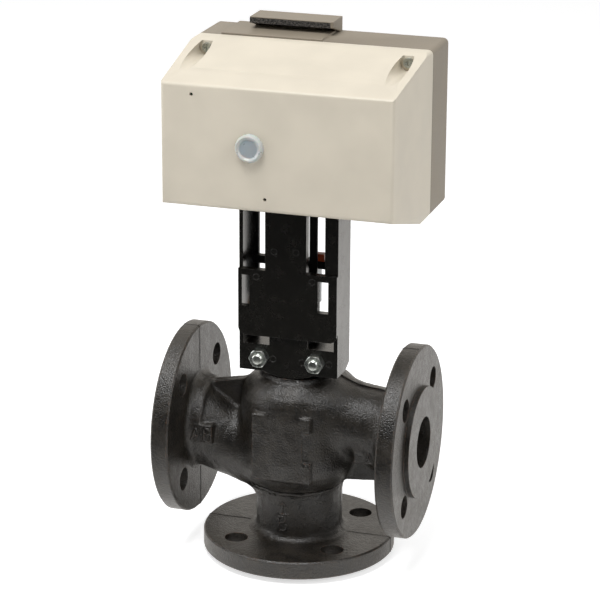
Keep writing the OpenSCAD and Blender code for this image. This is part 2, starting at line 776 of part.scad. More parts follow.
// Ported skirt between two heights, with its wide ends towards the seating disc at from_z
module ported_skirt(from_z, dir) {
    z0 = min(from_z, from_z + dir * skirt_l);
    port_w = skirt_r * 0.9;
    difference() {
        tube_z(z0, z0 + skirt_l, skirt_r, skirt_r - skirt_wall);
        for (k = [0 : skirt_ports - 1]) rotate([0, 0, (k + 0.5) * 360 / skirt_ports])
            translate([0, 0, from_z + dir * skirt_wall]) rotate([90, 0, 90])
                linear_extrude(height = skirt_r + over)
                    polygon([[-port_w / 2, 0], [port_w / 2, 0], [0, dir * (skirt_l - 2 * skirt_wall)]]);
    }
}

module valve_plug() {
    color("#bfc2c4") union() {
        tube_z(disc_z, disc_z + disc_h, plug_r, stem_thread_r);
        ported_skirt(disc_z, -1);
        ported_skirt(disc_z + disc_h, 1);
    }
}

module plug_lock_nut() {
    color("#c9ccce") difference() {
        bar_z(disc_z - lock_nut_h, disc_z, stem_thread_r * 1.85, hex_fn);
        bar_z(disc_z - lock_nut_h - over, disc_z + over, stem_thread_r, small_fn);
    }
}

// Front wall of the yoke, its lower edge bulging down in an arc round the bonnet
module yoke_front_outline() {
    arc_r = (pow(clamp_neck_r, 2) + pow(bulge_h, 2)) / (2 * bulge_h);
    half = asin(clamp_neck_r / arc_r);
    polygon(concat([[-yoke_x, yoke_top_z], [-yoke_x, yoke_z]],
        arc(0, yoke_z - bulge_h + arc_r, arc_r, 270 - half, 270 + half, 12),
        [[yoke_x, yoke_z], [yoke_x, yoke_top_z]]));
}

// Proud panel: full width below, a centre strip above
module yoke_panel_outline() {
    polygon(concat([[-strip_left, plate_under_z], [-strip_left, panel_top_z], [-yoke_x, panel_top_z]],
        arc(-yoke_x + panel_corner_r, panel_z + panel_corner_r, panel_corner_r, 180, 270),
        arc(yoke_x - panel_corner_r, panel_z + panel_corner_r, panel_corner_r, 270, 360),
        [[yoke_x, panel_top_z], [strip_right, panel_top_z], [strip_right, plate_under_z]]));
}

module yoke_side_outline() {
    polygon([[-yoke_front, yoke_z], [yoke_rear - 2.5 * yoke_chamfer, yoke_z],
        [yoke_rear, yoke_z + yoke_chamfer], [yoke_rear, yoke_top_z], [-yoke_front, yoke_top_z]]);
}

module yoke() {
    front_cut = -panel_y - over;
    wall_back = -yoke_front + yoke_wall;
    color("#1b1b1a") difference() {
        union() {
            slab_y(-yoke_front, wall_back) yoke_front_outline();
            slab_y(-panel_y, -yoke_front) yoke_panel_outline();
            for (side = [-1, 1]) {
                translate([side * (wall_x + yoke_wall / 2), 0, 0]) slab_x(yoke_wall) yoke_side_outline();
                translate([side > 0 ? wall_x - rear_lip_w : -wall_x, yoke_rear - yoke_wall, clamp_top_z])
                    cube([rear_lip_w, yoke_wall, plate_under_z - clamp_top_z]);
            }
            translate([-wall_x, wall_back, yoke_z])
                cube([2 * wall_x, yoke_front - yoke_wall - gap, clamp_h]);
            translate([-yoke_x, -panel_y, plate_under_z])
                cube([yoke_w, panel_y + rear_plate_y, yoke_top_t]);
        }
        // seat round the bonnet's neck, and holes for the legs of the U-bolt
        bar_z(yoke_z - bulge_h - over, clamp_top_z + over, clamp_neck_r + 2 * run);
        for (side = [-1, 1]) at_xz(side * ubolt_r, ubolt_z)
            rod_y(ubolt_wire_r + gap, -yoke_front - over, over);
        // openings above the nuts
        for (side = [-1, 1]) translate([side > 0 ? pocket_inner_x : -wall_x, front_cut, clamp_top_z])
            cube([nut_pocket_w, wall_back - front_cut + over, nut_pocket_h]);
        // upper windows beside the centre strip
        translate([-wall_x, front_cut, panel_top_z])
            cube([wall_x - strip_left, wall_back - front_cut + over, plate_under_z - panel_top_z]);
        translate([strip_right, front_cut, panel_top_z])
            cube([window_w, wall_back - front_cut + over, plate_under_z - panel_top_z]);
        // sight slots in the panel
        translate([-wall_x, front_cut, sight_z])
            cube([sight_left_w, wall_back - front_cut + over, sight_h]);
        translate([sight_right_x, front_cut, sight_z])
            cube([sight_right_w, wall_back - front_cut + over, sight_h]);
        // bush and screws of the bearing block
        bar_z(plate_under_z - over, yoke_top_z + over, bush_r);
        block_screw_places()
            bar_z(plate_under_z - over, yoke_top_z + over, block_screw_r + gap / 2, small_fn);
    }
}

module u_bolt() {
    leg_y = yoke_front + ubolt_nut_h + ubolt_tip;
    color("#b9bdbb") union() {
        translate([0, 0, ubolt_z]) rotate_extrude(angle = 180, $fn = big_fn) translate([ubolt_r, 0])
            circle(r = ubolt_wire_r, $fn = small_fn);
        for (side = [-1, 1]) at_xz(side * ubolt_r, ubolt_z) rod_y(ubolt_wire_r, -leg_y, 0);
    }
}

module u_bolt_nuts() {
    nut_front = yoke_front + ubolt_nut_h;
    color("#c3c8c5") for (side = [-1, 1]) at_xz(side * ubolt_r, ubolt_z) difference() {
        hex_y(ubolt_nut_af, -nut_front, -yoke_front);
        rod_y(ubolt_wire_r, -nut_front - over, -yoke_front + over);
    }
}

module travel_scale() {
    foot_z = panel_top_z - scale_w;
    scale_top_z = plate_under_z;
    color("#161615") union() {
        translate([scale_x - scale_w / 2, -scale_y, foot_z])
            cube([scale_w, scale_t, scale_top_z - foot_z]);
        translate([scale_x - scale_w / 2, -yoke_front + yoke_wall, foot_z])
            cube([scale_w, yoke_front - yoke_wall - scale_y + scale_t, scale_t]);
    }
}

// Whole stem coupling, bored for the stem below and the rack spindle above
module coupling_block() {
    mid = coupling_split_z;
    stem_groove_z = coupling_z + coupling_h / 4;
    top_groove_z = coupling_top_z - coupling_h / 4;
    difference() {
        translate([-coupling_w / 2, -coupling_d / 2, coupling_z])
            cube([coupling_w, coupling_d, coupling_h]);
        bar_z(coupling_z - over, stem_groove_z - stem_groove_h / 2, stem_r, small_fn);
        bar_z(coupling_z, mid, stem_neck_r, small_fn);
        bar_z(stem_groove_z + stem_groove_h / 2, mid, stem_r, small_fn);
        bar_z(mid, top_groove_z - stem_groove_h / 2, spindle_r);
        bar_z(mid, coupling_top_z, spindle_neck_r);
        bar_z(top_groove_z + stem_groove_h / 2, coupling_top_z + over, spindle_r);
        coupling_screw_places() rod_y(coupling_screw_r, -coupling_d, coupling_d / 2 - coupling_screw_r);
        coupling_screw_places()
            rod_y(coupling_screw_head_r, -coupling_d, -coupling_d / 2 + coupling_screw_r);
    }
}

module coupling_screw_places() {
    for (side = [-1, 1], z = [coupling_z + coupling_h * 0.2, coupling_top_z - coupling_h * 0.2])
        at_xz(side * coupling_screw_x, z) children();
}

module coupling_front() {
    color("#8d9190") intersection() {
        coupling_block();
        translate([-coupling_w, -coupling_d, coupling_z - over])
            cube([2 * coupling_w, coupling_d, coupling_h + 2 * over]);
    }
}

module coupling_rear() {
    color("#8d9190") difference() {
        coupling_block();
        translate([-coupling_w, -coupling_d, coupling_z - over])
            cube([2 * coupling_w, coupling_d, coupling_h + 2 * over]);
    }
}

module coupling_screws() {
    seat_y = -coupling_d / 2 + coupling_screw_r;
    color("#c3c8c5") coupling_screw_places() difference() {
        union() {
            rod_y(coupling_screw_r, seat_y, coupling_d / 2 - coupling_screw_r);
            rod_y(coupling_screw_head_r, -coupling_d / 2, seat_y);
        }
        hex_y(coupling_screw_r, -coupling_d / 2 - over, -coupling_d / 2 + coupling_screw_r * 0.6);
    }
}

// Arm that rides between the yoke's walls and keeps the stem from turning
module guide_arm() {
    arm_half = wall_x - gap;
    arm_back = yoke_wall - yoke_rear + gap;
    color("#161615") difference() {
        union() {
            bar_z(coupling_top_z, coupling_top_z + arm_h, arm_ring_r);
            translate([-arm_half, -arm_front, coupling_top_z])
                cube([2 * arm_half, arm_front - arm_back, arm_h]);
        }
        bar_z(coupling_top_z - over, coupling_top_z + arm_h + over, spindle_r);
        indicator_place()
            bar_z(coupling_top_z - over, coupling_top_z + arm_h + over, indicator_peg_r, small_fn);
    }
}

module indicator_place() {
    translate([scale_x + indicator_w / 4, -(arm_front + yoke_wall - yoke_rear + gap) / 2, 0]) children();
}

module stroke_indicator() {
    low = coupling_top_z + arm_h;
    depth = arm_front - yoke_wall + yoke_rear - gap;
    color("#b8431f") indicator_place() {
        translate([-indicator_w / 2, -depth / 2, low]) cube([indicator_w, depth, indicator_h]);
        bar_z(low - arm_h, low + indicator_h / 2, indicator_peg_r, small_fn);
    }
}

module rack_spindle() {
    low_gap = -floor((shaft_z - rack_low_z) / rack_pitch);
    high_gap = floor((rack_high_z - shaft_z) / rack_pitch);
    half_gap = rack_pitch / 4 + backlash / 4;
    tip_x = rack_pitch_x - tip_share * rack_module;
    root_x = rack_pitch_x + root_share * rack_module;
    half_root = half_gap - root_share * rack_module * tan(pressure);
    half_mouth = half_gap + (tip_share * rack_module + over) * tan(pressure);
    groove_z = coupling_top_z - coupling_h / 4;
    color("#c9ccce") difference() {
        bar_z(spindle_z, spindle_top_z, spindle_r);
        tube_z(groove_z - stem_groove_h / 2, groove_z + stem_groove_h / 2, spindle_r + over, spindle_neck_r);
        translate([tip_x - spindle_r, -spindle_r - over, rack_low_z])
            cube([spindle_r, 2 * (spindle_r + over), rack_high_z - rack_low_z]);
        for (k = [low_gap : high_gap]) translate([0, 0, shaft_z + k * rack_pitch])
            slab_y(-spindle_r - over, spindle_r + over) polygon([[root_x, -half_root],
                [root_x, half_root], [tip_x - over, half_mouth], [tip_x - over, -half_mouth]]);
    }
}

module block_screw_places() {
    inset = plate_t * 3.5;
    for (side = [-1, 1], y = [-plate_front + inset, plate_back - inset])
        translate([side * (block_w / 2 - inset), y, 0]) children();
}

module bearing_block() {
    color("#a7abab") difference() {
        translate([-block_w / 2, -plate_front, yoke_top_z]) cube([block_w, plate_gap, block_h]);
        bar_z(yoke_top_z - over, block_top_z + over, bush_r);
        block_screw_places() bar_z(yoke_top_z - over, block_top_z - gap, block_screw_r, small_fn);
        for (side = [-1, 1]) at_xz(side * block_w / 4, yoke_top_z + block_h / 2) {
            rod_y(plate_screw_r, -plate_front - over, -plate_front + plate_screw_l);
            rod_y(plate_screw_r, plate_back - plate_screw_l, plate_back + over);
        }
    }
}

module spindle_bush() {
    color("#b5863c") tube_z(plate_under_z, block_top_z, bush_r, spindle_r + run);
}

module yoke_screws() {
    head_h = block_screw_r * 1.6;
    color("#8d9190") block_screw_places() difference() {
        union() {
            bar_z(plate_under_z, block_top_z - block_screw_r, block_screw_r, small_fn);
            bar_z(plate_under_z - head_h, plate_under_z, block_screw_r * 1.7, small_fn);
        }
        bar_z(plate_under_z - head_h - over, plate_under_z - head_h / 2, block_screw_r, hex_fn);
    }
}

module guide_screw_places() {
    for (side = [-1, 1]) at_xz(side * (spindle_r + bush_wall), top_guide_z + top_guide_h / 2) children();
}

module spindle_top_guide() {
    guide_w = 2 * (spindle_r + 2 * bush_wall);
    color("#a7abab") difference() {
        translate([-guide_w / 2, -plate_front, top_guide_z])
            cube([guide_w, plate_front + spindle_r + bush_wall * 0.7, top_guide_h]);
        bar_z(top_guide_z - over, top_guide_z + top_guide_h + over, spindle_r + run);
        guide_screw_places() rod_y(plate_screw_r, -plate_front - over, -plate_front + plate_screw_l);
    }
}

// A pan head screw along Y, its head in front of seat_y
module screw_y(seat_y, length, dir = 1) {
    head_h = plate_screw_head * 0.6;
    difference() {
        union() {
            rod_y(plate_screw_r, min(seat_y, seat_y + dir * length), max(seat_y, seat_y + dir * length));
            rod_y(plate_screw_head, min(seat_y, seat_y - dir * head_h), max(seat_y, seat_y - dir * head_h));
        }
        translate([-plate_screw_head, seat_y - dir * head_h - plate_screw_r / 2, -plate_screw_r / 4])
            cube([2 * plate_screw_head, plate_screw_r, plate_screw_r / 2]);
    }
}

module guide_screws() {
    color("#c3c8c5") guide_screw_places() screw_y(front_plate_y, plate_t + plate_screw_l);
}

module plate_outline() {
    round_rect(plate_left, yoke_top_z, plate_right, plate_top, plate_edge);
}

module pillar_places() {
    for (x = pillar_x, z = pillar_z) at_xz(x, z) children();
}

module block_side_places() {
    for (side = [-1, 1]) at_xz(side * block_w / 4, yoke_top_z + block_h / 2) children();
}

module front_gear_plate() {
    color("#b4b8b7") difference() {
        slab_y(front_plate_y, -plate_front) plate_outline();
        at_xz(output_x, shaft_z) rod_y(output_bush_r, front_plate_y - over, over);
        at_xz(idler_x, idler_z) rod_y(idler_bush_r, front_plate_y - over, over);
        pillar_places() rod_y(plate_screw_r, front_plate_y - over, over);
        block_side_places() rod_y(plate_screw_r, front_plate_y - over, over);
        guide_screw_places() rod_y(plate_screw_r, front_plate_y - over, over);
    }
}

module motor_screw_places() {
    for (a = [-90, 0, 90]) at_xz(motor_x + motor_r * 0.76 * cos(a - motor_angle),
        motor_z + motor_r * 0.76 * sin(a - motor_angle)) children();
}

module rear_gear_plate() {
    color("#b4b8b7") difference() {
        slab_y(plate_back, rear_plate_y) plate_outline();
        at_xz(output_x, shaft_z) rod_y(output_bush_r, 0, rear_plate_y + over);
        at_xz(idler_x, idler_z) rod_y(idler_bush_r, 0, rear_plate_y + over);
        at_xz(motor_x, motor_z) rod_y(motor_shaft_r * 2, 0, rear_plate_y + over);
        pillar_places() rod_y(stud_r, 0, rear_plate_y + over);
        block_side_places() rod_y(plate_screw_r, 0, rear_plate_y + over);
        motor_screw_places() rod_y(plate_screw_r, 0, rear_plate_y + over);
    }
}

module plate_pillars() {
    color("#b5a06a") pillar_places() difference() {
        union() {
            hex_y(2 * pillar_r, -plate_front, plate_back);
            rod_y(stud_r, plate_back, plate_back + stud_l);
        }
        rod_y(plate_screw_r, -plate_front - over, -plate_front + plate_screw_l);
    }
}

module plate_screws() {
    color("#c3c8c5") {
        pillar_places() screw_y(front_plate_y, plate_t + plate_screw_l);
        block_side_places() {
            screw_y(front_plate_y, plate_t + plate_screw_l);
            screw_y(rear_plate_y, plate_t + plate_screw_l, -1);
        }
    }
}

module output_shaft() {
    color("#c9ccce") at_xz(output_x, shaft_z) difference() {
        rod_y(output_shaft_r, shaft_front_y, rear_plate_y + bush_proud);
        hex_y(output_shaft_r, shaft_front_y - over, shaft_front_y + output_shaft_r * 1.5);
    }
}

module rack_pinion() {
    color("#a9adad") at_xz(output_x, shaft_z)
        spur_gear(rack_pinion_teeth, rack_module, 0, output_shaft_r, -rack_pinion_w / 2, rack_pinion_w / 2);
}

module output_gear() {
    ring_r = pitch_r(output_teeth, gear_module) * 0.6;
    hole_r = pitch_r(output_teeth, gear_module) * 0.18;
    color("#c2a25a") at_xz(output_x, shaft_z) difference() {
        spur_gear(output_teeth, gear_module, idler_angle, output_shaft_r, output_gear_y,
            output_gear_y + output_gear_w);
        for (k = [0 : 5]) rotate([0, k * 60, 0]) translate([ring_r, 0, 0])
            rod_y(hole_r, output_gear_y - over, output_gear_y + output_gear_w + over);
    }
}

// A plain bush in each gear plate, for a shaft that turns in both
module plate_bush_pair(shaft_r, outer_r) {
    for (y = [front_plate_y - bush_proud, plate_back - bush_proud]) difference() {
        rod_y(outer_r, y, y + plate_t + 2 * bush_proud);
        rod_y(shaft_r + run, y - over, y + plate_t + 2 * bush_proud + over);
    }
}

module output_bushes() {
    color("#b5863c") at_xz(output_x, shaft_z) plate_bush_pair(output_shaft_r, output_bush_r);
}

module limit_cams() {
    color("#d8d4c6") at_xz(output_x, shaft_z) for (k = [0, 1]) {
        y1 = front_plate_y - k * switch_t - cam_margin;
        y0 = front_plate_y - (k + 1) * switch_t + cam_margin;
        difference() {
            union() {
                rod_y(cam_base_r, y0, y1);
                intersection() {
                    rod_y(cam_lobe_r, y0, y1);
                    rotate([0, k * 70, 0]) translate([0, y0 - over, -cam_lobe_r / 3])
                        cube([2 * cam_lobe_r, y1 - y0 + 2 * over, cam_lobe_r / 1.5]);
                }
            }
            rod_y(output_shaft_r, y0 - over, y1 + over);
        }
    }
}

module limit_switches() {
    top_z = shaft_z - cam_lobe_r - switch_h * 0.25;
    color("#2f3133") for (k = [0, 1]) {
        y0 = front_plate_y - (k + 1) * switch_t + run;
        translate([output_x - switch_w / 2, y0, top_z - switch_h])
            cube([switch_w, switch_t - run, switch_h]);
        translate([output_x - switch_h / 8, y0 + switch_t / 4, top_z])
            cube([switch_h / 4, switch_t / 2, switch_h * 0.25 - 2 * gap]);
    }
}

module idler_shaft() {
    color("#c9ccce") at_xz(idler_x, idler_z)
        rod_y(idler_shaft_r, front_plate_y - bush_proud, rear_plate_y + bush_proud);
}

module idler_pinion() {
    color("#a9adad") at_xz(idler_x, idler_z)
        spur_gear(idler_pinion_teeth, gear_module, idler_angle + 180 + 180 / idler_pinion_teeth,
            idler_shaft_r, output_gear_y - gap, output_gear_y + output_gear_w + gap);
}

module idler_gear() {
    color("#c2a25a") at_xz(idler_x, idler_z)
        spur_gear(idler_teeth, fine_module, -motor_angle, idler_shaft_r, idler_gear_y,
            idler_gear_y + idler_gear_w);
}

module idler_bushes() {
    color("#b5863c") at_xz(idler_x, idler_z) plate_bush_pair(idler_shaft_r, idler_bush_r);
}

module gear_motor() {
    color("#8b8f90") difference() {
        at_xz(motor_x, motor_z) rod_y(motor_r, rear_plate_y, rear_plate_y + motor_l, big_fn);
        at_xz(motor_x, motor_z)
            rod_y(motor_shaft_r + run, rear_plate_y - over, rear_plate_y + motor_shaft_r * 4 + gap);
        motor_screw_places() rod_y(plate_screw_r, rear_plate_y - over, rear_plate_y + plate_screw_l);
    }
}

module motor_pinion() {
    color("#a9adad") at_xz(motor_x, motor_z) union() {
        spur_gear(motor_pinion_teeth, fine_module, 180 - motor_angle + 180 / motor_pinion_teeth,
            motor_shaft_r / 2, idler_gear_y - gap, idler_gear_y + idler_gear_w + gap);
        rod_y(motor_shaft_r, idler_gear_y - 2 * gap, rear_plate_y + motor_shaft_r * 4);
    }
}

module motor_screws() {
    color("#c3c8c5") motor_screw_places() screw_y(plate_back, plate_t + plate_screw_l);
}

module board_spacer_places() {
    for (x = [plate_left + spacer_r * 1.4, board_x + board_w - spacer_r * 1.4],
        z = [board_z + board_h * 0.2, board_z + board_h * 0.8]) at_xz(x, z) children();
}

module circuit_board() {
    color("#2f6b45") translate([board_x, board_y - board_t, board_z]) cube([board_w, board_t, board_h]);
}

module board_spacers() {
    color("#e3e1d8") board_spacer_places() rod_y(spacer_r, board_y, front_plate_y);
}

module terminal_block() {
    pole_w = terminal_w / terminal_poles;
    front_y = board_y - board_t - terminal_d;
    color("#4f7f5d") difference() {
        translate([board_x + board_t, front_y, board_z + board_t])
            cube([terminal_w, terminal_d, terminal_h]);
        for (k = [0 : terminal_poles - 1])
            at_xz(board_x + board_t + (k + 0.5) * pole_w, board_z + board_t + terminal_h * 0.65)
                rod_y(pole_w * 0.3, front_y - over, front_y + terminal_d * 0.5);
    }
}

// Heights of the cover's lower and upper outline at a depth y
low_slope = front_rise / (joint_y - level_bottom + cover_front);
top_slope = front_drop / (joint_y - level_top + cover_front);
side_slope = (half_w - front_half_w) / (joint_y + cover_front);

// Side outline of the cover in Y and Z, moved in by w, with round front corners of radius r
module cover_side_outline(w, r) {
    la = atan(low_slope);
    ta = atan(top_slope);
    back = w > 0 ? cover_back_y + over : cover_back_y;
    y0 = -cover_front + w + r;
    low_z = front_low_z - low_slope * (w + r) + (w + r) / cos(la);
    high_z = front_high_z + top_slope * (w + r) - (w + r) / cos(ta);
    polygon(concat([[back, housing_top_z - w], [joint_y - level_top, housing_top_z - w]],
        arc(y0, high_z, r, 90 + ta, 180), arc(y0, low_z, r, 180, 270 - la),
        [[joint_y - level_bottom, housing_z + w], [back, housing_z + w]]));
}

// Plan outline of the cover in X and Y, moved in by w, with round front corners of radius r
module cover_plan_outline(w, r) {
    sa = atan(side_slope);
    back = w > 0 ? cover_back_y + over : cover_back_y;
    back_x = front_half_w + side_slope * (back + cover_front) - w / cos(sa);
    y0 = -cover_front + w + r;
    x0 = front_half_w + side_slope * (w + r) - (w + r) / cos(sa);
    polygon(concat([[back_x, back], [-back_x, back]], arc(-x0, y0, r, 180 + sa, 270),
        arc(x0, y0, r, 270, 360 - sa)));
}

// Outer form of the cover for w = 0, its hollow for w = wall
module cover_form(w) {
    r = cover_edge_r - w * 0.8;
    corner = max(housing_r - w, over);
    intersection() {
        slab_x(2 * half_w + 2 * over) cover_side_outline(w, r);
        translate([0, 0, housing_z - over]) linear_extrude(height = housing_h + 2 * over)
            cover_plan_outline(w, r);
        slab_y(-cover_front - over, cover_back_y + 2 * over)
            round_rect(-half_w + w, housing_z + w, half_w - w, housing_top_z - w, corner);
    }
}

module cover_screw_places() {
    for (side = [-1, 1]) at_xz(side * cover_screw_x, screw_z) children();
}

module cover() {
    pocket_front = -cover_front * 0.75;
    color("#d5cdbd") difference() {
        union() {
            difference() {
                cover_form(0);
                cover_form(housing_wall);
            }
            intersection() {
                cover_form(0);
                cover_screw_places()
                    rod_y(screw_pocket_r + pocket_wall, pocket_front, cover_screw_seat + housing_wall);
            }
        }
        cover_screw_places() rod_y(screw_pocket_r, -cover_front - over, cover_screw_seat);
        cover_screw_places()
            rod_y(cover_screw_r, cover_screw_seat - over, cover_screw_seat + housing_wall + over);
        at_xz(output_x, shaft_z)
            rod_y(access_hole_r, -cover_front - over, -cover_front + housing_wall + over);
        for (k = [0, 1]) at_xz(front_half_w * front_hole_x_shares[k],
            front_low_z + (front_high_z - front_low_z) * front_hole_z_shares[k])
                rod_y(front_hole_r, -cover_front - over, -cover_front + housing_wall + over);
        // way for the yoke, open to the joint
        translate([-yoke_x - gap, -panel_y - gap, housing_z - over])
            cube([yoke_w + 2 * gap, panel_y + joint_y + 2 * gap, front_rise]);
    }
}

module cover_gasket() {
    lip = housing_wall * 0.25;
    color("#3a3733") difference() {
        slab_y(cover_back_y, base_front_y)
            round_rect(-half_w + lip, housing_z + lip, half_w - lip, housing_top_z - lip, housing_r - lip);
        slab_y(cover_back_y - over, base_front_y + over) round_rect(-half_w + housing_wall,
            housing_z + housing_wall, half_w - housing_wall, housing_top_z - housing_wall, housing_r / 2);
        translate([-yoke_x - gap, cover_back_y - over, housing_z - over])
            cube([yoke_w + 2 * gap, joint_gasket_t + 2 * over, housing_wall + 2 * over]);
    }
}

module cover_screws() {
    head_h = cover_screw_head_r * 0.7;
    cross_w = cover_screw_r * 0.5;
    color("#b9bdbb") cover_screw_places() difference() {
        union() {
            rod_y(cover_screw_r, cover_screw_seat, cover_screw_seat + cover_screw_l);
            rod_y(cover_screw_head_r, cover_screw_seat - head_h, cover_screw_seat);
        }
        for (a = [0, 90]) rotate([0, a, 0])
            translate([-cover_screw_head_r * 0.6, cover_screw_seat - head_h - over, -cross_w / 2])
                cube([cover_screw_head_r * 1.2, over + head_h * 0.6, cross_w]);
    }
}

module actuator_base() {
    inner_back = base_back - housing_wall;
    boss_r = cover_screw_r + housing_wall * 0.4;
    entry_y = base_back - 2 * housing_wall - entry_d;
    color("#8f867b") difference() {
        union() {
            difference() {
                slab_y(base_front_y, base_back)
                    round_rect(-half_w, housing_z, half_w, housing_top_z, housing_r);
                slab_y(base_front_y - over, inner_back) round_rect(-half_w + housing_wall,
                    housing_z + housing_wall, half_w - housing_wall, housing_top_z - housing_wall,
                    housing_r / 2);
            }
            // tongue that closes the bottom behind the yoke
            translate([-yoke_x, tongue_y, housing_z])
                cube([yoke_w, base_front_y - tongue_y + over, housing_wall]);
            // bosses for the gear frame and for the cover's screws
            pillar_places() rod_y(pillar_r, rear_plate_y, inner_back + over);
            cover_screw_places() rod_y(boss_r, cover_screw_seat + housing_wall + gap, inner_back + over);
            // raised panel and cable entry hood on top
            translate([-plateau_shift - plateau_w / 2, base_front_y, housing_top_z - over])
                cube([plateau_w, base_back - base_front_y, plateau_h + over]);
            translate([hood_x, hood_y, hood_under_z]) cube([hood_w, hood_d, hood_roof_t]);
            translate([hood_x, inner_back, housing_top_z - over])
                cube([hood_w, housing_wall, hood_h - over]);
            for (x = [hood_x + housing_wall / 2, hood_x + hood_w - housing_wall / 2])
                translate([x, 0, 0]) slab_x(housing_wall) polygon([[base_back, housing_top_z - over],
                    [base_back, hood_top_z], [hood_y, hood_top_z], [hood_y, hood_under_z],
                    [hood_y + over, hood_under_z], [inner_back, housing_top_z - over]]);
        }
        // way for the spindle in the tongue
        bar_z(housing_z - over, housing_z + housing_wall + over, bush_r);
        // holes in the bosses
        pillar_places() rod_y(stud_r, rear_plate_y - over, plate_back + stud_l + gap);
        cover_screw_places()
            rod_y(cover_screw_r, cover_screw_seat + housing_wall, cover_screw_seat + cover_screw_l + gap);
        // cable entry under the hood and seat of the foam strip
        translate([-hood_shift - entry_w / 2, entry_y, housing_top_z - housing_wall - over])
            cube([entry_w, entry_d, housing_wall + plateau_h + 2 * over]);
        translate([hood_x - over, hood_y - over, hood_under_z - over])
            cube([hood_w - housing_wall + over, seal_d + over, hood_roof_t - seal_lip + over]);
    }
}

module entry_seal() {
    color("#1d1c1b") translate([hood_x, hood_y, hood_under_z])
        cube([hood_w - housing_wall, seal_d, hood_roof_t - seal_lip]);
}

module access_plug() {
    shank_r = access_hole_r - gap;
    dish_r = access_head_r * 0.66;
    bevel = access_head_h * 0.3;
    rim_y = -cover_front - run;
    color("#d9dfe2") at_xz(output_x, shaft_z) translate([0, rim_y, 0]) rotate([90, 0, 0])
        rotate_extrude($fn = big_fn) polygon([[0, 0], [shank_r - skirt_wall / 2, 0],
            [shank_r - skirt_wall / 2, -access_shank_l], [shank_r, -access_shank_l], [shank_r, 0],
            [access_head_r, 0], [access_head_r, access_head_h * 0.45],
            [access_head_r - bevel, access_head_h], [dish_r + bevel, access_head_h],
            [dish_r, access_head_h * 0.75], [0, access_head_h * 0.75]]);
}

valve_body();
lower_seat_ring();
upper_seat_ring();
bonnet();
bonnet_gasket();
stem_guide_bush();
stem_packing();
gland_nut();
valve_stem();
valve_plug();
plug_lock_nut();
yoke();
u_bolt();
u_bolt_nuts();
travel_scale();
coupling_front();
coupling_rear();
coupling_screws();
guide_arm();
stroke_indicator();
rack_spindle();
bearing_block();
spindle_bush();
yoke_screws();
spindle_top_guide();
guide_screws();
front_gear_plate();
rear_gear_plate();
plate_pillars();
plate_screws();
output_shaft();
rack_pinion();
output_gear();
output_bushes();
limit_cams();
limit_switches();
idler_shaft();
idler_pinion();
idler_gear();
idler_bushes();
gear_motor();
motor_pinion();
motor_screws();
circuit_board();
board_spacers();
terminal_block();
actuator_base();
cover();
cover_gasket();
cover_screws();
access_plug();
entry_seal();
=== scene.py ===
"""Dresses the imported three-way control valve: cast iron body, clamped yoke and actuator housing.

Surfaces are worked out in millimetres and turned to metres at the end, and so are sizes whose names
end in _mm. The stage is in metres. X runs along the side ports, -Y is the front and Z is up from the
bottom port's sealing face.
"""

import math

import bmesh
import bpy
import numpy as np
from bpy.props import FloatProperty, FloatVectorProperty, PointerProperty
from mathutils import Matrix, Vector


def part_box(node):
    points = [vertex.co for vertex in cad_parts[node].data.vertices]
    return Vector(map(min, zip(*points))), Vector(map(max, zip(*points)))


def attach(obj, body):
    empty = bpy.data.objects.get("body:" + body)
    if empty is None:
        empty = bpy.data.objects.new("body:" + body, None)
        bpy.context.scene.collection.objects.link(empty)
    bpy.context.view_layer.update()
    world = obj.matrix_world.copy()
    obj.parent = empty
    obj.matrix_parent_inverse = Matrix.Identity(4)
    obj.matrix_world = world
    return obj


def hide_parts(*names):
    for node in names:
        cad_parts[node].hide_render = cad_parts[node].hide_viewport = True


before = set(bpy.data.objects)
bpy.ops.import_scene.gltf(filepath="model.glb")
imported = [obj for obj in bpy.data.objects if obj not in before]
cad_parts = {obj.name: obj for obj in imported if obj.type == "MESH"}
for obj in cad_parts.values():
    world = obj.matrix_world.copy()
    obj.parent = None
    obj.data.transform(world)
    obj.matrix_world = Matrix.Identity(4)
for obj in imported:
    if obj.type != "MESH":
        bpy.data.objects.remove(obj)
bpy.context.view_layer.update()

bl_info = {
    "name": "Three-way control valve",
    "version": (1, 0, 0),
    "blender": (4, 5, 0),
    "location": "View3D > Sidebar > Valve",
    "description": "Dresses a flanged three-way valve and its electric actuator",
    "category": "Object",
}

MM = 0.001

# Driving sizes of the casting in millimetres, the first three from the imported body: half the
# face-to-face length, the flanges' radius, the height of the side ports' axis, a flange's thickness
# with its raised face, and the height of the bonnet's seat
BODY_HIGH = np.array(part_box("valve_body")[1]) / MM
HALF_SPAN = round(BODY_HIGH[0], 1)
FLANGE_R = round(BODY_HIGH[1], 1)
AXIS_H = round(BODY_HIGH[2], 1) - FLANGE_R
FLANGE_T = 18
SEAT_H = AXIS_H + 50


# Colours and node helpers


def srgb(text):
    """Linear RGBA of an sRGB hex colour such as c9c1b0."""
    parts = np.array([int(text[i:i + 2], 16) / 255 for i in (0, 2, 4)])
    linear = np.where(parts <= 0.04045, parts / 12.92, ((parts + 0.055) / 1.055) ** 2.4)
    return (*linear.tolist(), 1.0)


def add(tree, kind, inputs=None, **settings):
    """Adds a node, gives it its settings, and fills its sockets with values or links."""
    node = tree.nodes.new(kind)
    for name, value in settings.items():
        setattr(node, name, value)
    for key, value in (inputs or {}).items():
        socket = node.inputs[key]
        if isinstance(value, bpy.types.NodeSocket):
            tree.links.new(value, socket)
        else:
            socket.default_value = value
    return node


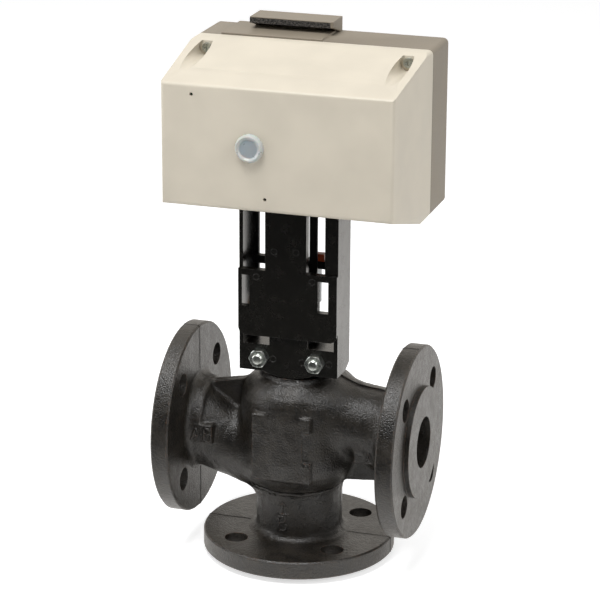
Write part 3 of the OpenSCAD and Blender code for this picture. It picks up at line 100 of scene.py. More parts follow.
def material(name, constants, build):
    """A Principled material. constants go on the shader's own sockets, and build(tree, where) returns
    the linked ones, where being Object coordinates in metres."""
    mat = bpy.data.materials.new(name)
    mat.use_nodes = True
    tree = mat.node_tree
    tree.nodes.clear()
    where = add(tree, "ShaderNodeTexCoord").outputs["Object"]
    linked = build(tree, where)
    shader = add(tree, "ShaderNodeBsdfPrincipled", {**constants, **linked})
    add(tree, "ShaderNodeOutputMaterial", {"Surface": shader.outputs["BSDF"]})
    return mat


def noise(tree, where, size_mm, detail=2.0, rough=0.5, stretch=None):
    """Noise with features of about size_mm, stretched by factors along X, Y and Z if given."""
    if stretch:
        where = add(tree, "ShaderNodeMapping", {"Vector": where, "Scale": stretch}).outputs["Vector"]
    return add(tree, "ShaderNodeTexNoise", {"Vector": where, "Scale": 1 / (size_mm * MM),
                                            "Detail": detail, "Roughness": rough}).outputs["Fac"]


def span(tree, value, low, high, to_low=0.0, to_high=1.0, smooth=False):
    """Maps value from low..high to to_low..to_high, clamped."""
    return add(tree, "ShaderNodeMapRange",
               {"Value": value, "From Min": low, "From Max": high, "To Min": to_low, "To Max": to_high},
               interpolation_type="SMOOTHSTEP" if smooth else "LINEAR").outputs["Result"]


def tinted(colour, factor):
    """A colour made lighter or darker by a factor."""
    return (*(min(1.0, c * factor) for c in colour[:3]), 1.0)


def blend_colours(tree, factor, first, second):
    """Mixes two colours, given as hex text, as RGBA or as sockets."""
    first, second = (srgb(c) if isinstance(c, str) else c for c in (first, second))
    return add(tree, "ShaderNodeMix", {0: factor, 6: first, 7: second}, data_type="RGBA").outputs[2]


def calc(tree, operation, *values):
    """A Math node with up to three values."""
    return add(tree, "ShaderNodeMath", dict(enumerate(values)), operation=operation).outputs[0]


def bump(tree, height, height_mm, before=None):
    """A bump whose height value 1 stands for height_mm."""
    inputs = {"Height": height, "Distance": height_mm * MM, "Strength": 1.0}
    if before is not None:
        inputs["Normal"] = before
    return add(tree, "ShaderNodeBump", inputs).outputs["Normal"]


def edges(tree, radius_mm):
    """The normal of edges rounded to radius_mm."""
    return add(tree, "ShaderNodeBevel", {"Radius": radius_mm * MM}, samples=6).outputs["Normal"]


# Finishes


def cast_iron_paint(casting):
    """Grey cast iron under black enamel. Sand leaves grain about 1 mm wide and shallow waves. The enamel
    pools in the low places and looks black and fairly glossy there. High places look browner and duller,
    and on edges it is rubbed through to brown iron in spots, but not in the fillet under the belly."""
    grain_mm, pit_mm, wave_mm, spot_mm = 1.15, 3.4, 14, 3.2
    seam_low_mm, seam_high_mm, seam_fade_mm = 53, 63, 3

    def build(tree, where):
        grain = noise(tree, where, grain_mm)
        pits = noise(tree, where, pit_mm)
        waves = noise(tree, where, wave_mm)
        spots = noise(tree, where, spot_mm, 4.0, 0.65)
        tone = calc(tree, "ADD", calc(tree, "MULTIPLY", grain, 0.6), calc(tree, "MULTIPLY", waves, 0.4))
        colour = blend_colours(tree, span(tree, tone, 0.4, 0.62), tuple(casting.low_colour),
                               tuple(casting.high_colour))
        face = add(tree, "ShaderNodeNewGeometry").outputs["Normal"]
        flat = add(tree, "ShaderNodeVectorMath", {0: edges(tree, 1.1), 1: face},
                   operation="DOT_PRODUCT").outputs["Value"]
        worn = calc(tree, "MULTIPLY", span(tree, flat, 0.9, 0.995, 1.0, 0.0), span(tree, spots, 0.48, 0.6))
        up = add(tree, "ShaderNodeSeparateXYZ", {"Vector": where}).outputs["Z"]
        over = span(tree, up, (seam_low_mm - seam_fade_mm) * MM, seam_low_mm * MM)
        under = span(tree, up, seam_high_mm * MM, (seam_high_mm + seam_fade_mm) * MM, 1.0, 0.0)
        worn = calc(tree, "MULTIPLY", worn, calc(tree, "SUBTRACT", 1.0, calc(tree, "MULTIPLY", over, under)))
        rust = span(tree, spots, 0.69, 0.76, 0.0, 0.7)
        colour = blend_colours(tree, calc(tree, "MAXIMUM", worn, rust), colour, "5c4433")
        rough = span(tree, calc(tree, "ADD", pits, waves), 0.75, 1.25, 0.31, 0.44)
        rough = calc(tree, "ADD", rough, calc(tree, "MULTIPLY", worn, 0.25))
        height = calc(tree, "ADD", calc(tree, "MULTIPLY", grain, 0.7), calc(tree, "MULTIPLY", pits, 0.3))
        normal = bump(tree, waves, 0.3, bump(tree, height, 0.72, edges(tree, 0.7)))
        return {"Base Color": colour, "Roughness": rough, "Normal": normal}
    return material("black enamel on grey cast iron", {"IOR": 1.6}, build)


def yoke_enamel():
    """Black enamel on die-cast zinc: smooth and fairly glossy, with faint orange peel and dust."""
    def build(tree, where):
        peel = noise(tree, where, 1.6)
        dust = noise(tree, where, 9, 4.0, 0.65)
        colour = blend_colours(tree, span(tree, dust, 0.4, 0.8), "100f0c", "171511")
        rough = span(tree, dust, 0.3, 0.75, 0.22, 0.3)
        normal = bump(tree, peel, 0.05, edges(tree, 0.35))
        return {"Base Color": colour, "Roughness": rough, "Normal": normal}
    return material("black enamel on die-cast zinc", {"IOR": 1.6}, build)


def moulded(name, low, high, rough, grain_mm, depth_mm, edge_mm=0.4):
    """Moulded plastic from a spark-eroded tool: even colour, fine grain and a soft sheen."""
    def build(tree, where):
        cloud = noise(tree, where, 35)
        grain = noise(tree, where, grain_mm, 2.0, 0.6)
        colour = blend_colours(tree, span(tree, cloud, 0.35, 0.65), low, high)
        shine = span(tree, calc(tree, "ADD", grain, cloud), 0.7, 1.3, rough - 0.05, rough + 0.06)
        return {"Base Color": colour, "Roughness": shine,
                "Normal": bump(tree, grain, depth_mm, edges(tree, edge_mm))}
    return material(name, {"IOR": 1.49}, build)


def turned_metal(name, low, high, rough, stretch=(1, 1, 1), scratch_mm=0.8, depth_mm=0.02, edge_mm=0.2):
    """Machined metal: tool marks one way, a little tarnish in clouds, edges broken."""
    def build(tree, where):
        marks = noise(tree, where, scratch_mm, 3.0, 0.6, stretch)
        cloud = noise(tree, where, 6, 3.0, 0.55)
        colour = blend_colours(tree, span(tree, cloud, 0.35, 0.68), low, high)
        shine = span(tree, calc(tree, "ADD", marks, cloud), 0.7, 1.3, rough - 0.08, rough + 0.1)
        return {"Base Color": colour, "Roughness": shine,
                "Normal": bump(tree, marks, depth_mm, edges(tree, edge_mm))}
    return material(name, {"Metallic": 1.0}, build)


def open_foam():
    """Open-cell polyurethane foam: black, with cells over 1 mm wide. The lighter colour on their rims is a
    painted highlight and their dark middles are painted shade.
    """
    cell_mm = 1.3

    def build(tree, where):
        cells = add(tree, "ShaderNodeTexVoronoi",
                    {"Vector": where, "Scale": 1 / (cell_mm * MM)}).outputs["Distance"]
        speck = noise(tree, where, 0.9, 2.0, 0.6)
        # Painted highlight on the cell rims and painted shade in the cell middles, put into the colour
        painted_rim_highlight = span(tree, calc(tree, "ADD", cells, speck), 0.75, 1.25)
        return {"Base Color": blend_colours(tree, painted_rim_highlight, "0e0e0d", "4d4945"),
                "Normal": bump(tree, cells, 0.8)}
    return material("open cell foam", {"Roughness": 0.9}, build)


def board_laminate():
    """Glass fibre laminate under green solder resist, with a faint weave 0.9 mm apart."""
    weave_mm = 0.9

    def build(tree, where):
        weave = add(tree, "ShaderNodeTexWave",
                    {"Vector": where, "Scale": 1 / (weave_mm * MM) / 6.283, "Distortion": 1.0},
                    bands_direction="DIAGONAL").outputs["Fac"]
        cloud = noise(tree, where, 12, 2.0)
        return {"Base Color": blend_colours(tree, cloud, "1d5a36", "2c7547"),
                "Roughness": span(tree, cloud, 0.3, 0.7, 0.3, 0.42), "Normal": bump(tree, weave, 0.02)}
    return material("green solder resist on laminate", {"IOR": 1.5}, build)


def clear_moulding():
    """Unfilled polyethylene: milky and see-through, bluish where it is thick in the dished middle."""
    dish_mm, rim_mm = 6.2, 7.4

    def build(tree, where):
        low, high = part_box("access_plug")
        at = add(tree, "ShaderNodeSeparateXYZ", {"Vector": where}).outputs
        squares = [calc(tree, "POWER", calc(tree, "SUBTRACT", at[name], middle), 2.0)
                   for name, middle in (("X", (low.x + high.x) / 2), ("Z", (low.z + high.z) / 2))]
        off = calc(tree, "SQRT", calc(tree, "ADD", *squares))
        ring = span(tree, off, dish_mm * MM, rim_mm * MM, smooth=True)
        cloud = noise(tree, where, 4, 2.0)
        return {"Base Color": blend_colours(tree, ring, "a9b3b8", "cdd1ce"),
                "Roughness": span(tree, cloud, 0.3, 0.7, 0.26, 0.38),
                "Normal": bump(tree, cloud, 0.06, edges(tree, 0.4))}
    return material("natural polyethylene", {"IOR": 1.51, "Transmission Weight": 0.25,
                                             "Subsurface Weight": 0.25, "Subsurface Scale": 0.002}, build)


# Surfaces from grids


def grid_faces(rows, columns, wrap_rows, wrap_columns, start=0):
    """Quads between neighbouring points of a grid, as an array of four indices a face."""
    i = np.arange(rows if wrap_rows else rows - 1)
    j = np.arange(columns if wrap_columns else columns - 1)
    i, j = np.meshgrid(i, j, indexing="ij")
    i1, j1 = (i + 1) % rows, (j + 1) % columns
    corners = np.stack([i * columns + j, i * columns + j1, i1 * columns + j1, i1 * columns + j], -1)
    return corners.reshape(-1, 4) + start


def piece(name, grids, finish, body="root", sharp_deg=40):
    """One object from grids of points in metres. A grid is (points, wrap_rows, wrap_columns). Doubled
    points are merged, so poles and seams close, and faces are turned outwards."""
    points, faces, start = [], [], 0
    for grid, wrap_rows, wrap_columns in grids:
        rows, columns = grid.shape[:2]
        points.append(grid.reshape(-1, 3))
        faces.append(grid_faces(rows, columns, wrap_rows, wrap_columns, start))
        start += rows * columns
    mesh = bpy.data.meshes.new(name)
    mesh.from_pydata(np.concatenate(points).tolist(), [], np.concatenate(faces).tolist())
    work = bmesh.new()
    work.from_mesh(mesh)
    bmesh.ops.remove_doubles(work, verts=work.verts, dist=1e-7)
    bmesh.ops.recalc_face_normals(work, faces=work.faces)
    work.to_mesh(mesh)
    work.free()
    mesh.shade_smooth()
    mesh.set_sharp_from_angle(angle=math.radians(sharp_deg))
    return place(bpy.data.objects.new(name, mesh), finish, body)


def place(ob, finish, body):
    """Links an object, gives it its finish, and lets it ride on a body."""
    bpy.context.scene.collection.objects.link(ob)
    ob.data.materials.clear()
    ob.data.materials.append(finish)
    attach(ob, body)
    return ob


def softened(node, finish, width_mm, weight, body="root"):
    """A merged copy of a CAD node with rounded edges, which stands for it. weight(middle) gives the
    share of width_mm that a sharp convex edge gets, from its middle in millimetres."""
    flat_deg, convex_deg, sharp_deg = 0.4, 38, 30
    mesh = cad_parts[node].data.copy()
    mesh.name = node + "_soft"
    work = bmesh.new()
    work.from_mesh(mesh)
    bmesh.ops.remove_doubles(work, verts=work.verts, dist=2e-6)
    bmesh.ops.dissolve_limit(work, angle_limit=math.radians(flat_deg), verts=work.verts, edges=work.edges)
    layer = work.edges.layers.float.new("bevel_weight_edge")
    for edge in work.edges:
        if len(edge.link_faces) == 2 and edge.calc_face_angle_signed(0) > math.radians(convex_deg):
            middle = (edge.verts[0].co + edge.verts[1].co) / 2
            edge[layer] = weight(middle / MM)
    work.to_mesh(mesh)
    work.free()
    mesh.shade_smooth()
    mesh.set_sharp_from_angle(angle=math.radians(sharp_deg))
    ob = bpy.data.objects.new(node + "_soft", mesh)
    rounding = ob.modifiers.new("rounded edges", "BEVEL")
    rounding.width = width_mm * MM
    rounding.segments = 3
    rounding.limit_method = "WEIGHT"
    rounding.harden_normals = True
    place(ob, finish, body)
    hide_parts(node)
    return ob


# The casting


def smooth_union(a, b, reach):
    """The lower of two distances, rounded off where they differ by less than reach."""
    share = np.clip(reach - np.abs(a - b), 0, None) / reach
    return np.minimum(a, b) - share * share * reach / 4


def cone_distance(p, a, b, ra, rb):
    """Distance from a round bar that runs from a to b and goes from radius ra to rb."""
    a, b = np.array(a, float), np.array(b, float)
    along = np.clip((p - a) @ (b - a) / ((b - a) @ (b - a)), 0, 1)
    return np.linalg.norm(p - a - along[..., None] * (b - a), axis=-1) - (ra + (rb - ra) * along)


def slab_distance(p, low, high, corner):
    """Distance from a box between two corners, its edges rounded by corner."""
    low, high = np.array(low, float) + corner, np.array(high, float) - corner
    outside = np.maximum(np.maximum(low - p, p - high), 0)
    inside = np.minimum(np.max(np.maximum(low - p, p - high), axis=-1), 0)
    return np.linalg.norm(outside, axis=-1) + inside - corner


# The cast shape in millimetres, chosen to run just over the imported body.
# Middle line of the duct to each side port: at its flange, at its bend and inside the belly
DUCT_LINES = {-1: ((-83, 0, 97), (-58, 0, 86), (-15, 0, 72)),
              1: ((83, 0, 101.5), (62, 0, 109), (10, 0, 118))}
# Radius of a duct at those three places
DUCT_RADII = (33.4, 28, 28.5)
# Level cone behind each flange: how far from the stem's axis it starts and ends, and its radii there
LEVEL_SPAN = (71.5, 91)
LEVEL_RADII = (31.7, 35.5)
# Upper edge of the left web and lower edge of the right one: places along X, and heights there
LEFT_WEB = ((-75.5, -42, -31.2, -21), (130.5, 137, 142.5, 146.4))
RIGHT_WEB = ((21, 91), (62, 68))
WEB_HALF_T = 4.5
WEB_CORNER = 1.6
# Boxes by two corners: the front pad, the notch in its right side and the pads of two port letters
FRONT_PAD = ((-24.9, -43.8, 71), (22.0, -24, 124.4))
PAD_NOTCH = ((15.4, -60, 88), (40, -20, 112))
LETTER_PADS = (((-80.5, -33.0, 90.5), (-60.5, -15, 105.5)), ((51, -24.6, 86), (82, -8, 99.8)))
# Radius of the middle of each flange, which the fillets run onto
FILLET_DISC_R = 60
# Reach of the fillets: at a duct's bend, its cone, the belly, the webs, the pads and the flanges
BEND_FILLET, LEVEL_FILLET, DUCT_FILLET, WEB_FILLET = 3, 5, 8, 4
PAD_FILLET, LETTER_FILLET, SIDE_FILLET, FOOT_FILLET = 1.4, 1.6, 6, 7
# How far the rear half of the mould is proud at the parting line, and how much more on top of the
# right duct
MOULD_STEP, TOP_STEP = 0.3, 1.1
# Rows of rays close to a flange, and the first of the even rows, as distances from the flange
ROWS_AT_FLANGE = np.array([0.1, 0.4, 0.8])
EVEN_ROWS_FROM = 1.4
# Height under which the rays of the side ports leave the neck to the other rays
NECK_JOIN_Z = 57.5


def belly_radius(z):
    """Radius of the belly by height: neck, heel, drum, crown and top ring, in millimetres."""
    heights = [18, 50, 55, 58, 62, 67, 73, 79, 85, 122, 130, 136, 141, 144.5, 146.5, 148, 152]
    radii = [33, 33, 33.6, 34.7, 36.6, 40.2, 43.3, 44.7, 45, 45, 44.4, 42.4, 38.6, 34.6, 31.2, 30, 30]
    return np.interp(z, heights, radii)


def web_distance(y, beyond, half_t, corner):
    """Distance from an upright web of half thickness half_t whose edge lies where beyond is 0."""
    sideways, past = np.abs(y) - half_t + corner, beyond + corner
    outside = np.hypot(np.maximum(sideways, 0), np.maximum(past, 0))
    return outside + np.minimum(np.maximum(sideways, past), 0) - corner


def casting_field(p):
    """Signed distance, in millimetres, from the cast shape: a turned belly, a bent duct to each side
    port, a web over the left duct and one under the right, the front pad and the pads of two port
    letters, all joined by fillets. Negative is inside. The belly's share brings its value nearer the
    true distance where its side slopes."""
    x, y, z = p[..., 0], p[..., 1], p[..., 2]
    from_stem, from_axis = np.hypot(x, y), np.hypot(y, z - AXIS_H)
    slope_share = 0.92
    field = (from_stem - belly_radius(z)) * slope_share
    at_flange, at_bend, at_belly = DUCT_RADII
    for side, (start, bend, end) in DUCT_LINES.items():
        duct = smooth_union(cone_distance(p, start, bend, at_flange, at_bend),
                            cone_distance(p, bend, end, at_bend, at_belly), BEND_FILLET)
        out = side * x
        level = np.maximum(from_axis - np.interp(out, LEVEL_SPAN, LEVEL_RADII), LEVEL_SPAN[0] - out)
        field = smooth_union(field, smooth_union(duct, level, LEVEL_FILLET), DUCT_FILLET)
    left = web_distance(y, z - np.interp(x, *LEFT_WEB), WEB_HALF_T, WEB_CORNER)
    field = smooth_union(field, np.maximum(left, np.maximum(x, AXIS_H - z)), WEB_FILLET)
    right = web_distance(y, np.interp(x, *RIGHT_WEB) - z, WEB_HALF_T, WEB_CORNER)
    field = smooth_union(field, np.maximum(right, np.maximum(-x, z - AXIS_H - 5)), WEB_FILLET)
    pad = slab_distance(p, *FRONT_PAD, corner=1.1)
    notch = slab_distance(p, *PAD_NOTCH, corner=0.8)
    field = smooth_union(field, np.maximum(pad, -notch), PAD_FILLET)
    for corners in LETTER_PADS:
        field = smooth_union(field, slab_distance(p, *corners, corner=1.0), LETTER_FILLET)
    for side in (-1, 1):
        disc = np.maximum(HALF_SPAN - FLANGE_T - side * x, from_axis - FILLET_DISC_R)
        field = smooth_union(field, disc, SIDE_FILLET)
    field = smooth_union(field, np.maximum(z - FLANGE_T, from_stem - FILLET_DISC_R), FOOT_FILLET)
    return np.maximum(field, z - SEAT_H)


def waves(p, seed, size_mm, count=40):
    """Smooth unevenness of about 1 either way: a sum of count plane waves in random directions. A
    vector of three random values is about 1.7 long, so its waves are about size_mm apart."""
    vector_length = 1.7
    rng = np.random.default_rng(seed)
    k = rng.normal(size=(count, 3)) * (2 * math.pi / size_mm / vector_length)
    phase = rng.uniform(0, 2 * math.pi, count)
    total = np.zeros(p.shape[:-1])
    for row, start in zip(k, phase):
        total += np.cos(p @ row + start)
    return total / math.sqrt(count)


def first_crossing(origins, directions, reach, steps):
    """Where each ray first leaves the casting, in millimetres: even steps, then halving."""
    halvings = 10
    low = np.zeros(origins.shape[:-1])
    high = np.full(origins.shape[:-1], float(reach))
    found = np.zeros(origins.shape[:-1], bool)
    for t in np.linspace(0, reach, steps + 1)[1:]:
        out = ~found & (casting_field(origins + directions * t) > 0)
        high[out] = t
        found |= out
        low[~found] = t
    for _ in range(halvings):
        middle = (low + high) / 2
        out = casting_field(origins + directions * middle[..., None]) > 0
        high = np.where(out, middle, high)
        low = np.where(out, low, middle)
    return np.where(found, (low + high) / 2, reach)


def cast_surface(origins, directions, reach, steps, allowance):
    """Points of the cast skin along rays: the crossing, plus the allowance, the sand's waves and what
    the rear half of the mould stands proud by behind the parting line. That grows over 5 mm of the
    right duct's length and 8 mm of its height."""
    t = first_crossing(origins, directions, reach, steps)
    p = origins + directions * t[..., None]
    right_from, top_from, line_width, wave_height = 27, 116, 0.4, 0.14
    on_right = np.clip((p[..., 0] - right_from) / 5, 0, 1)
    on_top = np.clip((p[..., 2] - top_from) / 8, 0, 1)
    behind = np.clip(p[..., 1] / line_width, 0, 1)
    unevenness = wave_height * waves(p, seed=11, size_mm=9)
    lift = allowance + unevenness + (MOULD_STEP + TOP_STEP * on_right * on_top) * behind
    return origins + directions * (t + lift)[..., None]


def dense_turn(count, marks, reach=0.0):
    """Angles of a full turn, with fine lines within reach of the marks, in degrees, and a few more
    close on both sides of them."""
    fine, beside = 0.45, (-0.6, -0.12, 0.0, 0.12, 0.45, 0.9)
    near = np.concatenate([np.arange(-reach, reach + 0.01, fine), beside])
    extra = (np.array(marks)[:, None] + near).ravel()
    turn = np.concatenate([np.linspace(0, 360, count, endpoint=False), np.mod(extra, 360)])
    return np.radians(np.unique(np.round(turn, 4)))


def casting_skin(allowance):
    """Two grids of rays. The first leaves the side ports' axis square to it, over the ducts and belly.
    The second leaves the stem's axis, over the neck of the bottom port. Where they overlap, each ends
    inside the other."""
    neck_r, widest_r = 33.6, 41
    neck_middle_z, neck_top_z, fade = 40, 60.6, 1.8
    inner_face = HALF_SPAN - FLANGE_T
    near, even = inner_face - ROWS_AT_FLANGE, inner_face - EVEN_ROWS_FROM
    along = np.concatenate([-near, np.linspace(-even, even, 190), near[::-1]])
    x, a = np.meshgrid(along, dense_turn(230, (90, 270), 14), indexing="ij")
    origins = np.stack([x, 0 * x, AXIS_H + 0 * x], -1)
    directions = np.stack([0 * x, np.cos(a), np.sin(a)], -1)
    sides = cast_surface(origins, directions, 62, 48, allowance)
    clipped = (sides[..., 2] < NECK_JOIN_Z) & (np.hypot(sides[..., 0], sides[..., 1]) < neck_r)
    shrink = np.where(clipped, (AXIS_H - NECK_JOIN_Z) / np.maximum(AXIS_H - sides[..., 2], 1e-6), 1)
    sides = origins + (sides - origins) * shrink[..., None]
    sides[..., 2] = np.minimum(sides[..., 2], SEAT_H + 0.02)
    up = np.concatenate([FLANGE_T + ROWS_AT_FLANGE, np.linspace(FLANGE_T + EVEN_ROWS_FROM, neck_top_z, 60)])
    z, a = np.meshgrid(up, dense_turn(230, (0, 180)), indexing="ij")
    origins = np.stack([0 * z, 0 * z, z], -1)
    directions = np.stack([np.cos(a), np.sin(a), 0 * z], -1)
    neck = cast_surface(origins, directions, 50, 40, allowance + 0.03)
    radius = np.hypot(neck[..., 0], neck[..., 1])
    inset = np.minimum(1, widest_r / radius) * (1 - 0.012 * np.clip((z - neck_top_z + fade) / fade, 0, 1))
    neck[..., :2] *= np.where(z > neck_middle_z, inset, 1)[..., None]
    return [(sides * MM, False, True), (neck * MM, False, True)]


def front_of_casting(x, z, allowance):
    """Points on the front of the cast skin over x and z, in millimetres."""
    origins = np.stack([x, 0 * x, z], -1)
    directions = np.broadcast_to([0.0, -1.0, 0.0], origins.shape)
    t = first_crossing(origins, directions, reach=62, steps=60)
    return origins + directions * (t + allowance)[..., None]


def cast_stroke(points, width_mm, height_mm, allowance, samples=14):
    """A half-round bead along a line drawn in X and Z on the front of the casting. Across the line it
    follows the skin, and its height is a half circle's. Its edges are sunk a little into the skin."""
    sunk_mm = 0.2
    points = np.array(points, float)
    lengths = np.concatenate([[0], np.cumsum(np.linalg.norm(np.diff(points, axis=0), axis=1))])
    at = np.linspace(0, lengths[-1], samples)
    line = np.stack([np.interp(at, lengths, points[:, k]) for k in (0, 1)], -1)
    side = np.gradient(line, axis=0)
    side = np.stack([-side[:, 1], side[:, 0]], -1) / np.linalg.norm(side, axis=1)[:, None]
    across = np.linspace(-1, 1, 9)
    taper = np.sqrt(1 - np.linspace(-1, 1, samples) ** 8)
    flat = line[:, None, :] + side[:, None, :] * (across[None, :, None] * width_mm / 2)
    skin = front_of_casting(flat[..., 0], flat[..., 1], allowance)
    skin[..., 1] -= height_mm * np.sqrt(1 - across ** 2)[None, :] * taper[:, None] - sunk_mm
    return skin * MM


# Strokes of the port letters and of the flow arrow in a box one high, as lists of points
LETTERS = {
    "A": [[(0, 0), (0.32, 1)], [(0.32, 1), (0.64, 0)], [(0.13, 0.36), (0.51, 0.36)]],
    "B": [[(0, 0), (0, 1)], [(0, 1), (0.36, 0.98), (0.48, 0.8), (0.4, 0.58), (0, 0.53)],
          [(0.4, 0.55), (0.56, 0.4), (0.52, 0.12), (0.34, 0), (0, 0)]],
    "^": [[(0.4, 0), (0.4, 1)], [(0.1, 0.66), (0.4, 1), (0.7, 0.66)], [(-0.2, 0), (1.0, 0)]],
}
# Where they stand: letters, left end, foot and height in millimetres
CAST_MARKS = (("AB", -77.5, 92.5, 10.5), ("A", 61, 88, 9.7), ("B", -6, 26, 11.5), ("^", -7, 39.8, 10))


def port_letters(text, x, z, height_mm, allowance):
    """Cast port letters on the front of the casting: a half-round bead along each stroke."""
    pitch_share = 0.95
    strokes = []
    for letter in text:
        for points in LETTERS[letter]:
            line = [(x + u * height_mm, z + v * height_mm) for u, v in points]
            bead = cast_stroke(line, width_mm=1.9, height_mm=1.0, allowance=allowance)
            strokes.append((bead, False, False))
        x += pitch_share * height_mm
    return strokes


def parting_bead(path, outward):
    """The ridge that the joint of the mould leaves on a flange, in the plane y = 0. Its height across
    the line is a parabola's, and its edges are sunk a little into the flange."""
    height, half_width, sunk = 0.45, 0.7, 0.12
    across = np.linspace(-1, 1, 7)[None, :, None]
    plane = path[:, None, :] + outward[:, None, :] * (height * (1 - across ** 2) - sunk)
    x, z = plane[..., :1], plane[..., 1:]
    return np.concatenate([x, 0 * x + across * half_width, z], -1) * MM


def flange_beads():
    """Parting ridges on the inner face and the rim of each flange. One path serves all: radius from the
    port's axis and height over its sealing face, with the way outwards at each point."""
    start_r, turn_r, turn_h, end_h = 40, FLANGE_R - 1, FLANGE_T - 1.2, 5.2
    path = np.array([(start_r, FLANGE_T), (turn_r, FLANGE_T), (FLANGE_R, turn_h), (FLANGE_R, end_h)])
    outward = np.array([(0, 1), (0.7, 0.7), (0.85, 0.5), (1, 0)])
    beads = []
    for side in (-1, 1):
        for up in (-1, 1):
            flip = np.array((-side, up))
            on_side_port = path[:, ::-1] * flip + (side * HALF_SPAN, AXIS_H)
            beads.append((parting_bead(on_side_port, outward[:, ::-1] * flip), False, False))
        beads.append((parting_bead(path * (side, 1), outward * (side, 1)), False, False))
    return beads


# Fasteners


def hex_nut(centre, across_flats, height, bore_r):
    """A chamfered hexagon nut along Y. Its radius by angle is the hexagon's, with the corners cut round.
    Its front falls away outside a circle about as wide as the flats, and its back falls less."""
    chamfer_deg, back_share, sink_share = 32, 0.2, 0.02
    corner_share, circle_share, face_share, mouth_share = 1.135, 0.99, 0.985, 1.09
    a = np.linspace(0, 2 * math.pi, 96, endpoint=False)
    flat_r = across_flats / 2
    hexagon = flat_r / np.cos(np.mod(a, math.pi / 3) - math.pi / 6)
    fall = np.maximum(hexagon - flat_r * circle_share, 0) * math.tan(math.radians(chamfer_deg))
    rounded = np.minimum(hexagon, flat_r * corner_share)
    face_r = flat_r * face_share
    rings = [(bore_r, height * sink_share), (bore_r * mouth_share, 0), (face_r, 0), (rounded, fall),
             (rounded, height - fall * back_share), (face_r, height), (bore_r, height)]
    r = np.array([radius + 0 * a for radius, _ in rings])
    y = np.array([depth + 0 * a for _, depth in rings])
    cx, cy, cz = centre
    return np.stack([cx + r * np.cos(a), cy + y, cz + r * np.sin(a)], -1) * MM


def ejector_marks():
    """The rings that the mould's ejector pins leave on the yoke's front: each is a flat torus."""
    ring_r, half_width, proud, panel_step = 2.4, 0.3, 0.2, 3
    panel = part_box("yoke")[0].y / MM
    wall = panel + panel_step
    places = ((-10.5, 251.5, panel), (6.9, 252.4, panel), (-24.7, 230.3, panel), (19.6, 230.6, panel),
              (-12.1, 165.1, wall), (11.1, 164.5, wall), (32.6, 165.3, wall))
    a, b = np.meshgrid(np.linspace(0, 2 * math.pi, 40, endpoint=False),
                       np.linspace(0, 2 * math.pi, 10, endpoint=False), indexing="ij")
    rings = []
    for x, z, y in places:
        r = ring_r + half_width * np.cos(b)
        ring = np.stack([x + r * np.cos(a), y - proud * np.sin(b) + 0 * a, z + r * np.sin(a)], -1)
        rings.append((ring * MM, True, True))
    return rings


def threaded_u():
    """The U-bolt: a round bar carried down one leg, round the bend and up the other. Its radius ripples
    in a helix at the end of each leg, where the thread is, and its ends are domed."""
    thread_l, pitch, thread_depth = 14, 1.25, 0.55
    dome_l, dome_depth = 0.9, 0.75
    far_from_ends = 99.0
    low, high = (np.array(c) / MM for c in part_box("u_bolt"))
    wire_r = (high[2] - low[2]) / 2
    bend_r = (high[0] - low[0]) / 2 - wire_r
    cz = (high[2] + low[2]) / 2
    leg = -low[1]
    thread = np.arange(0, thread_l, pitch / 8)
    down = np.concatenate([thread, np.linspace(thread_l + 0.4, leg, 12)])
    left_leg = np.stack([0 * down - bend_r, -leg + down], -1)
    sweep = np.linspace(math.pi, 0, 50)[1:-1]
    bend = np.stack([bend_r * np.cos(sweep), bend_r * np.sin(sweep)], -1)
    path = np.concatenate([left_leg, bend, (left_leg * [-1, 1])[::-1]])
    tangent = np.gradient(path, axis=0)
    tangent /= np.linalg.norm(tangent, axis=1)[:, None]
    normal = np.stack([tangent[:, 1], -tangent[:, 0]], -1)
    s = np.concatenate([down, np.full(len(bend), far_from_ends), down[::-1]])
    a = np.linspace(0, 2 * math.pi, 40, endpoint=False)
    ripple = 0.5 - 0.5 * np.cos(2 * math.pi * s[:, None] / pitch - a[None, :])
    depth = np.where(s < thread_l, thread_depth, 0)[:, None] * ripple
    dome = np.where(s < dome_l, dome_depth * (1 - s / dome_l) ** 2, 0)[:, None]
    r = wire_r - np.maximum(depth, dome)
    side, up = r * np.cos(a), r * np.sin(a)
    grid = np.stack([path[:, :1] + normal[:, :1] * side, path[:, 1:] + normal[:, 1:] * side, cz + up], -1)
    ends = [np.broadcast_to(grid[i].mean(0), grid[i].shape)[None] for i in (0, -1)]
    return np.concatenate([ends[0], grid, ends[1]]) * MM


# Settings


class CastingSettings(bpy.types.PropertyGroup):
    allowance_mm: FloatProperty(name="Skin allowance",
                                description="How far the cast skin stands over the core, in millimetres",
                                default=0.42, min=0.2, max=1.0)
    low_colour: FloatVectorProperty(name="Enamel in low places",
                                    description="Colour where the enamel pools",
                                    subtype="COLOR", size=4, default=srgb("0e0c0a"))
    high_colour: FloatVectorProperty(name="Enamel on high places",
                                     description="Colour where the enamel is thin",
                                     subtype="COLOR", size=4, default=srgb("2a251e"))


class HousingSettings(bpy.types.PropertyGroup):
    edge_mm: FloatProperty(name="Edge radius",
                           description="Radius of the cover's long edges, in millimetres",
                           default=2.2, min=0.5, max=4)
    cover_colour: FloatVectorProperty(name="Cover", description="Colour of the moulded cover",
                                      subtype="COLOR", size=4, default=srgb("cbc3b3"))
    base_colour: FloatVectorProperty(name="Base", description="Colour of the moulded base",
                                     subtype="COLOR", size=4, default=srgb("807769"))


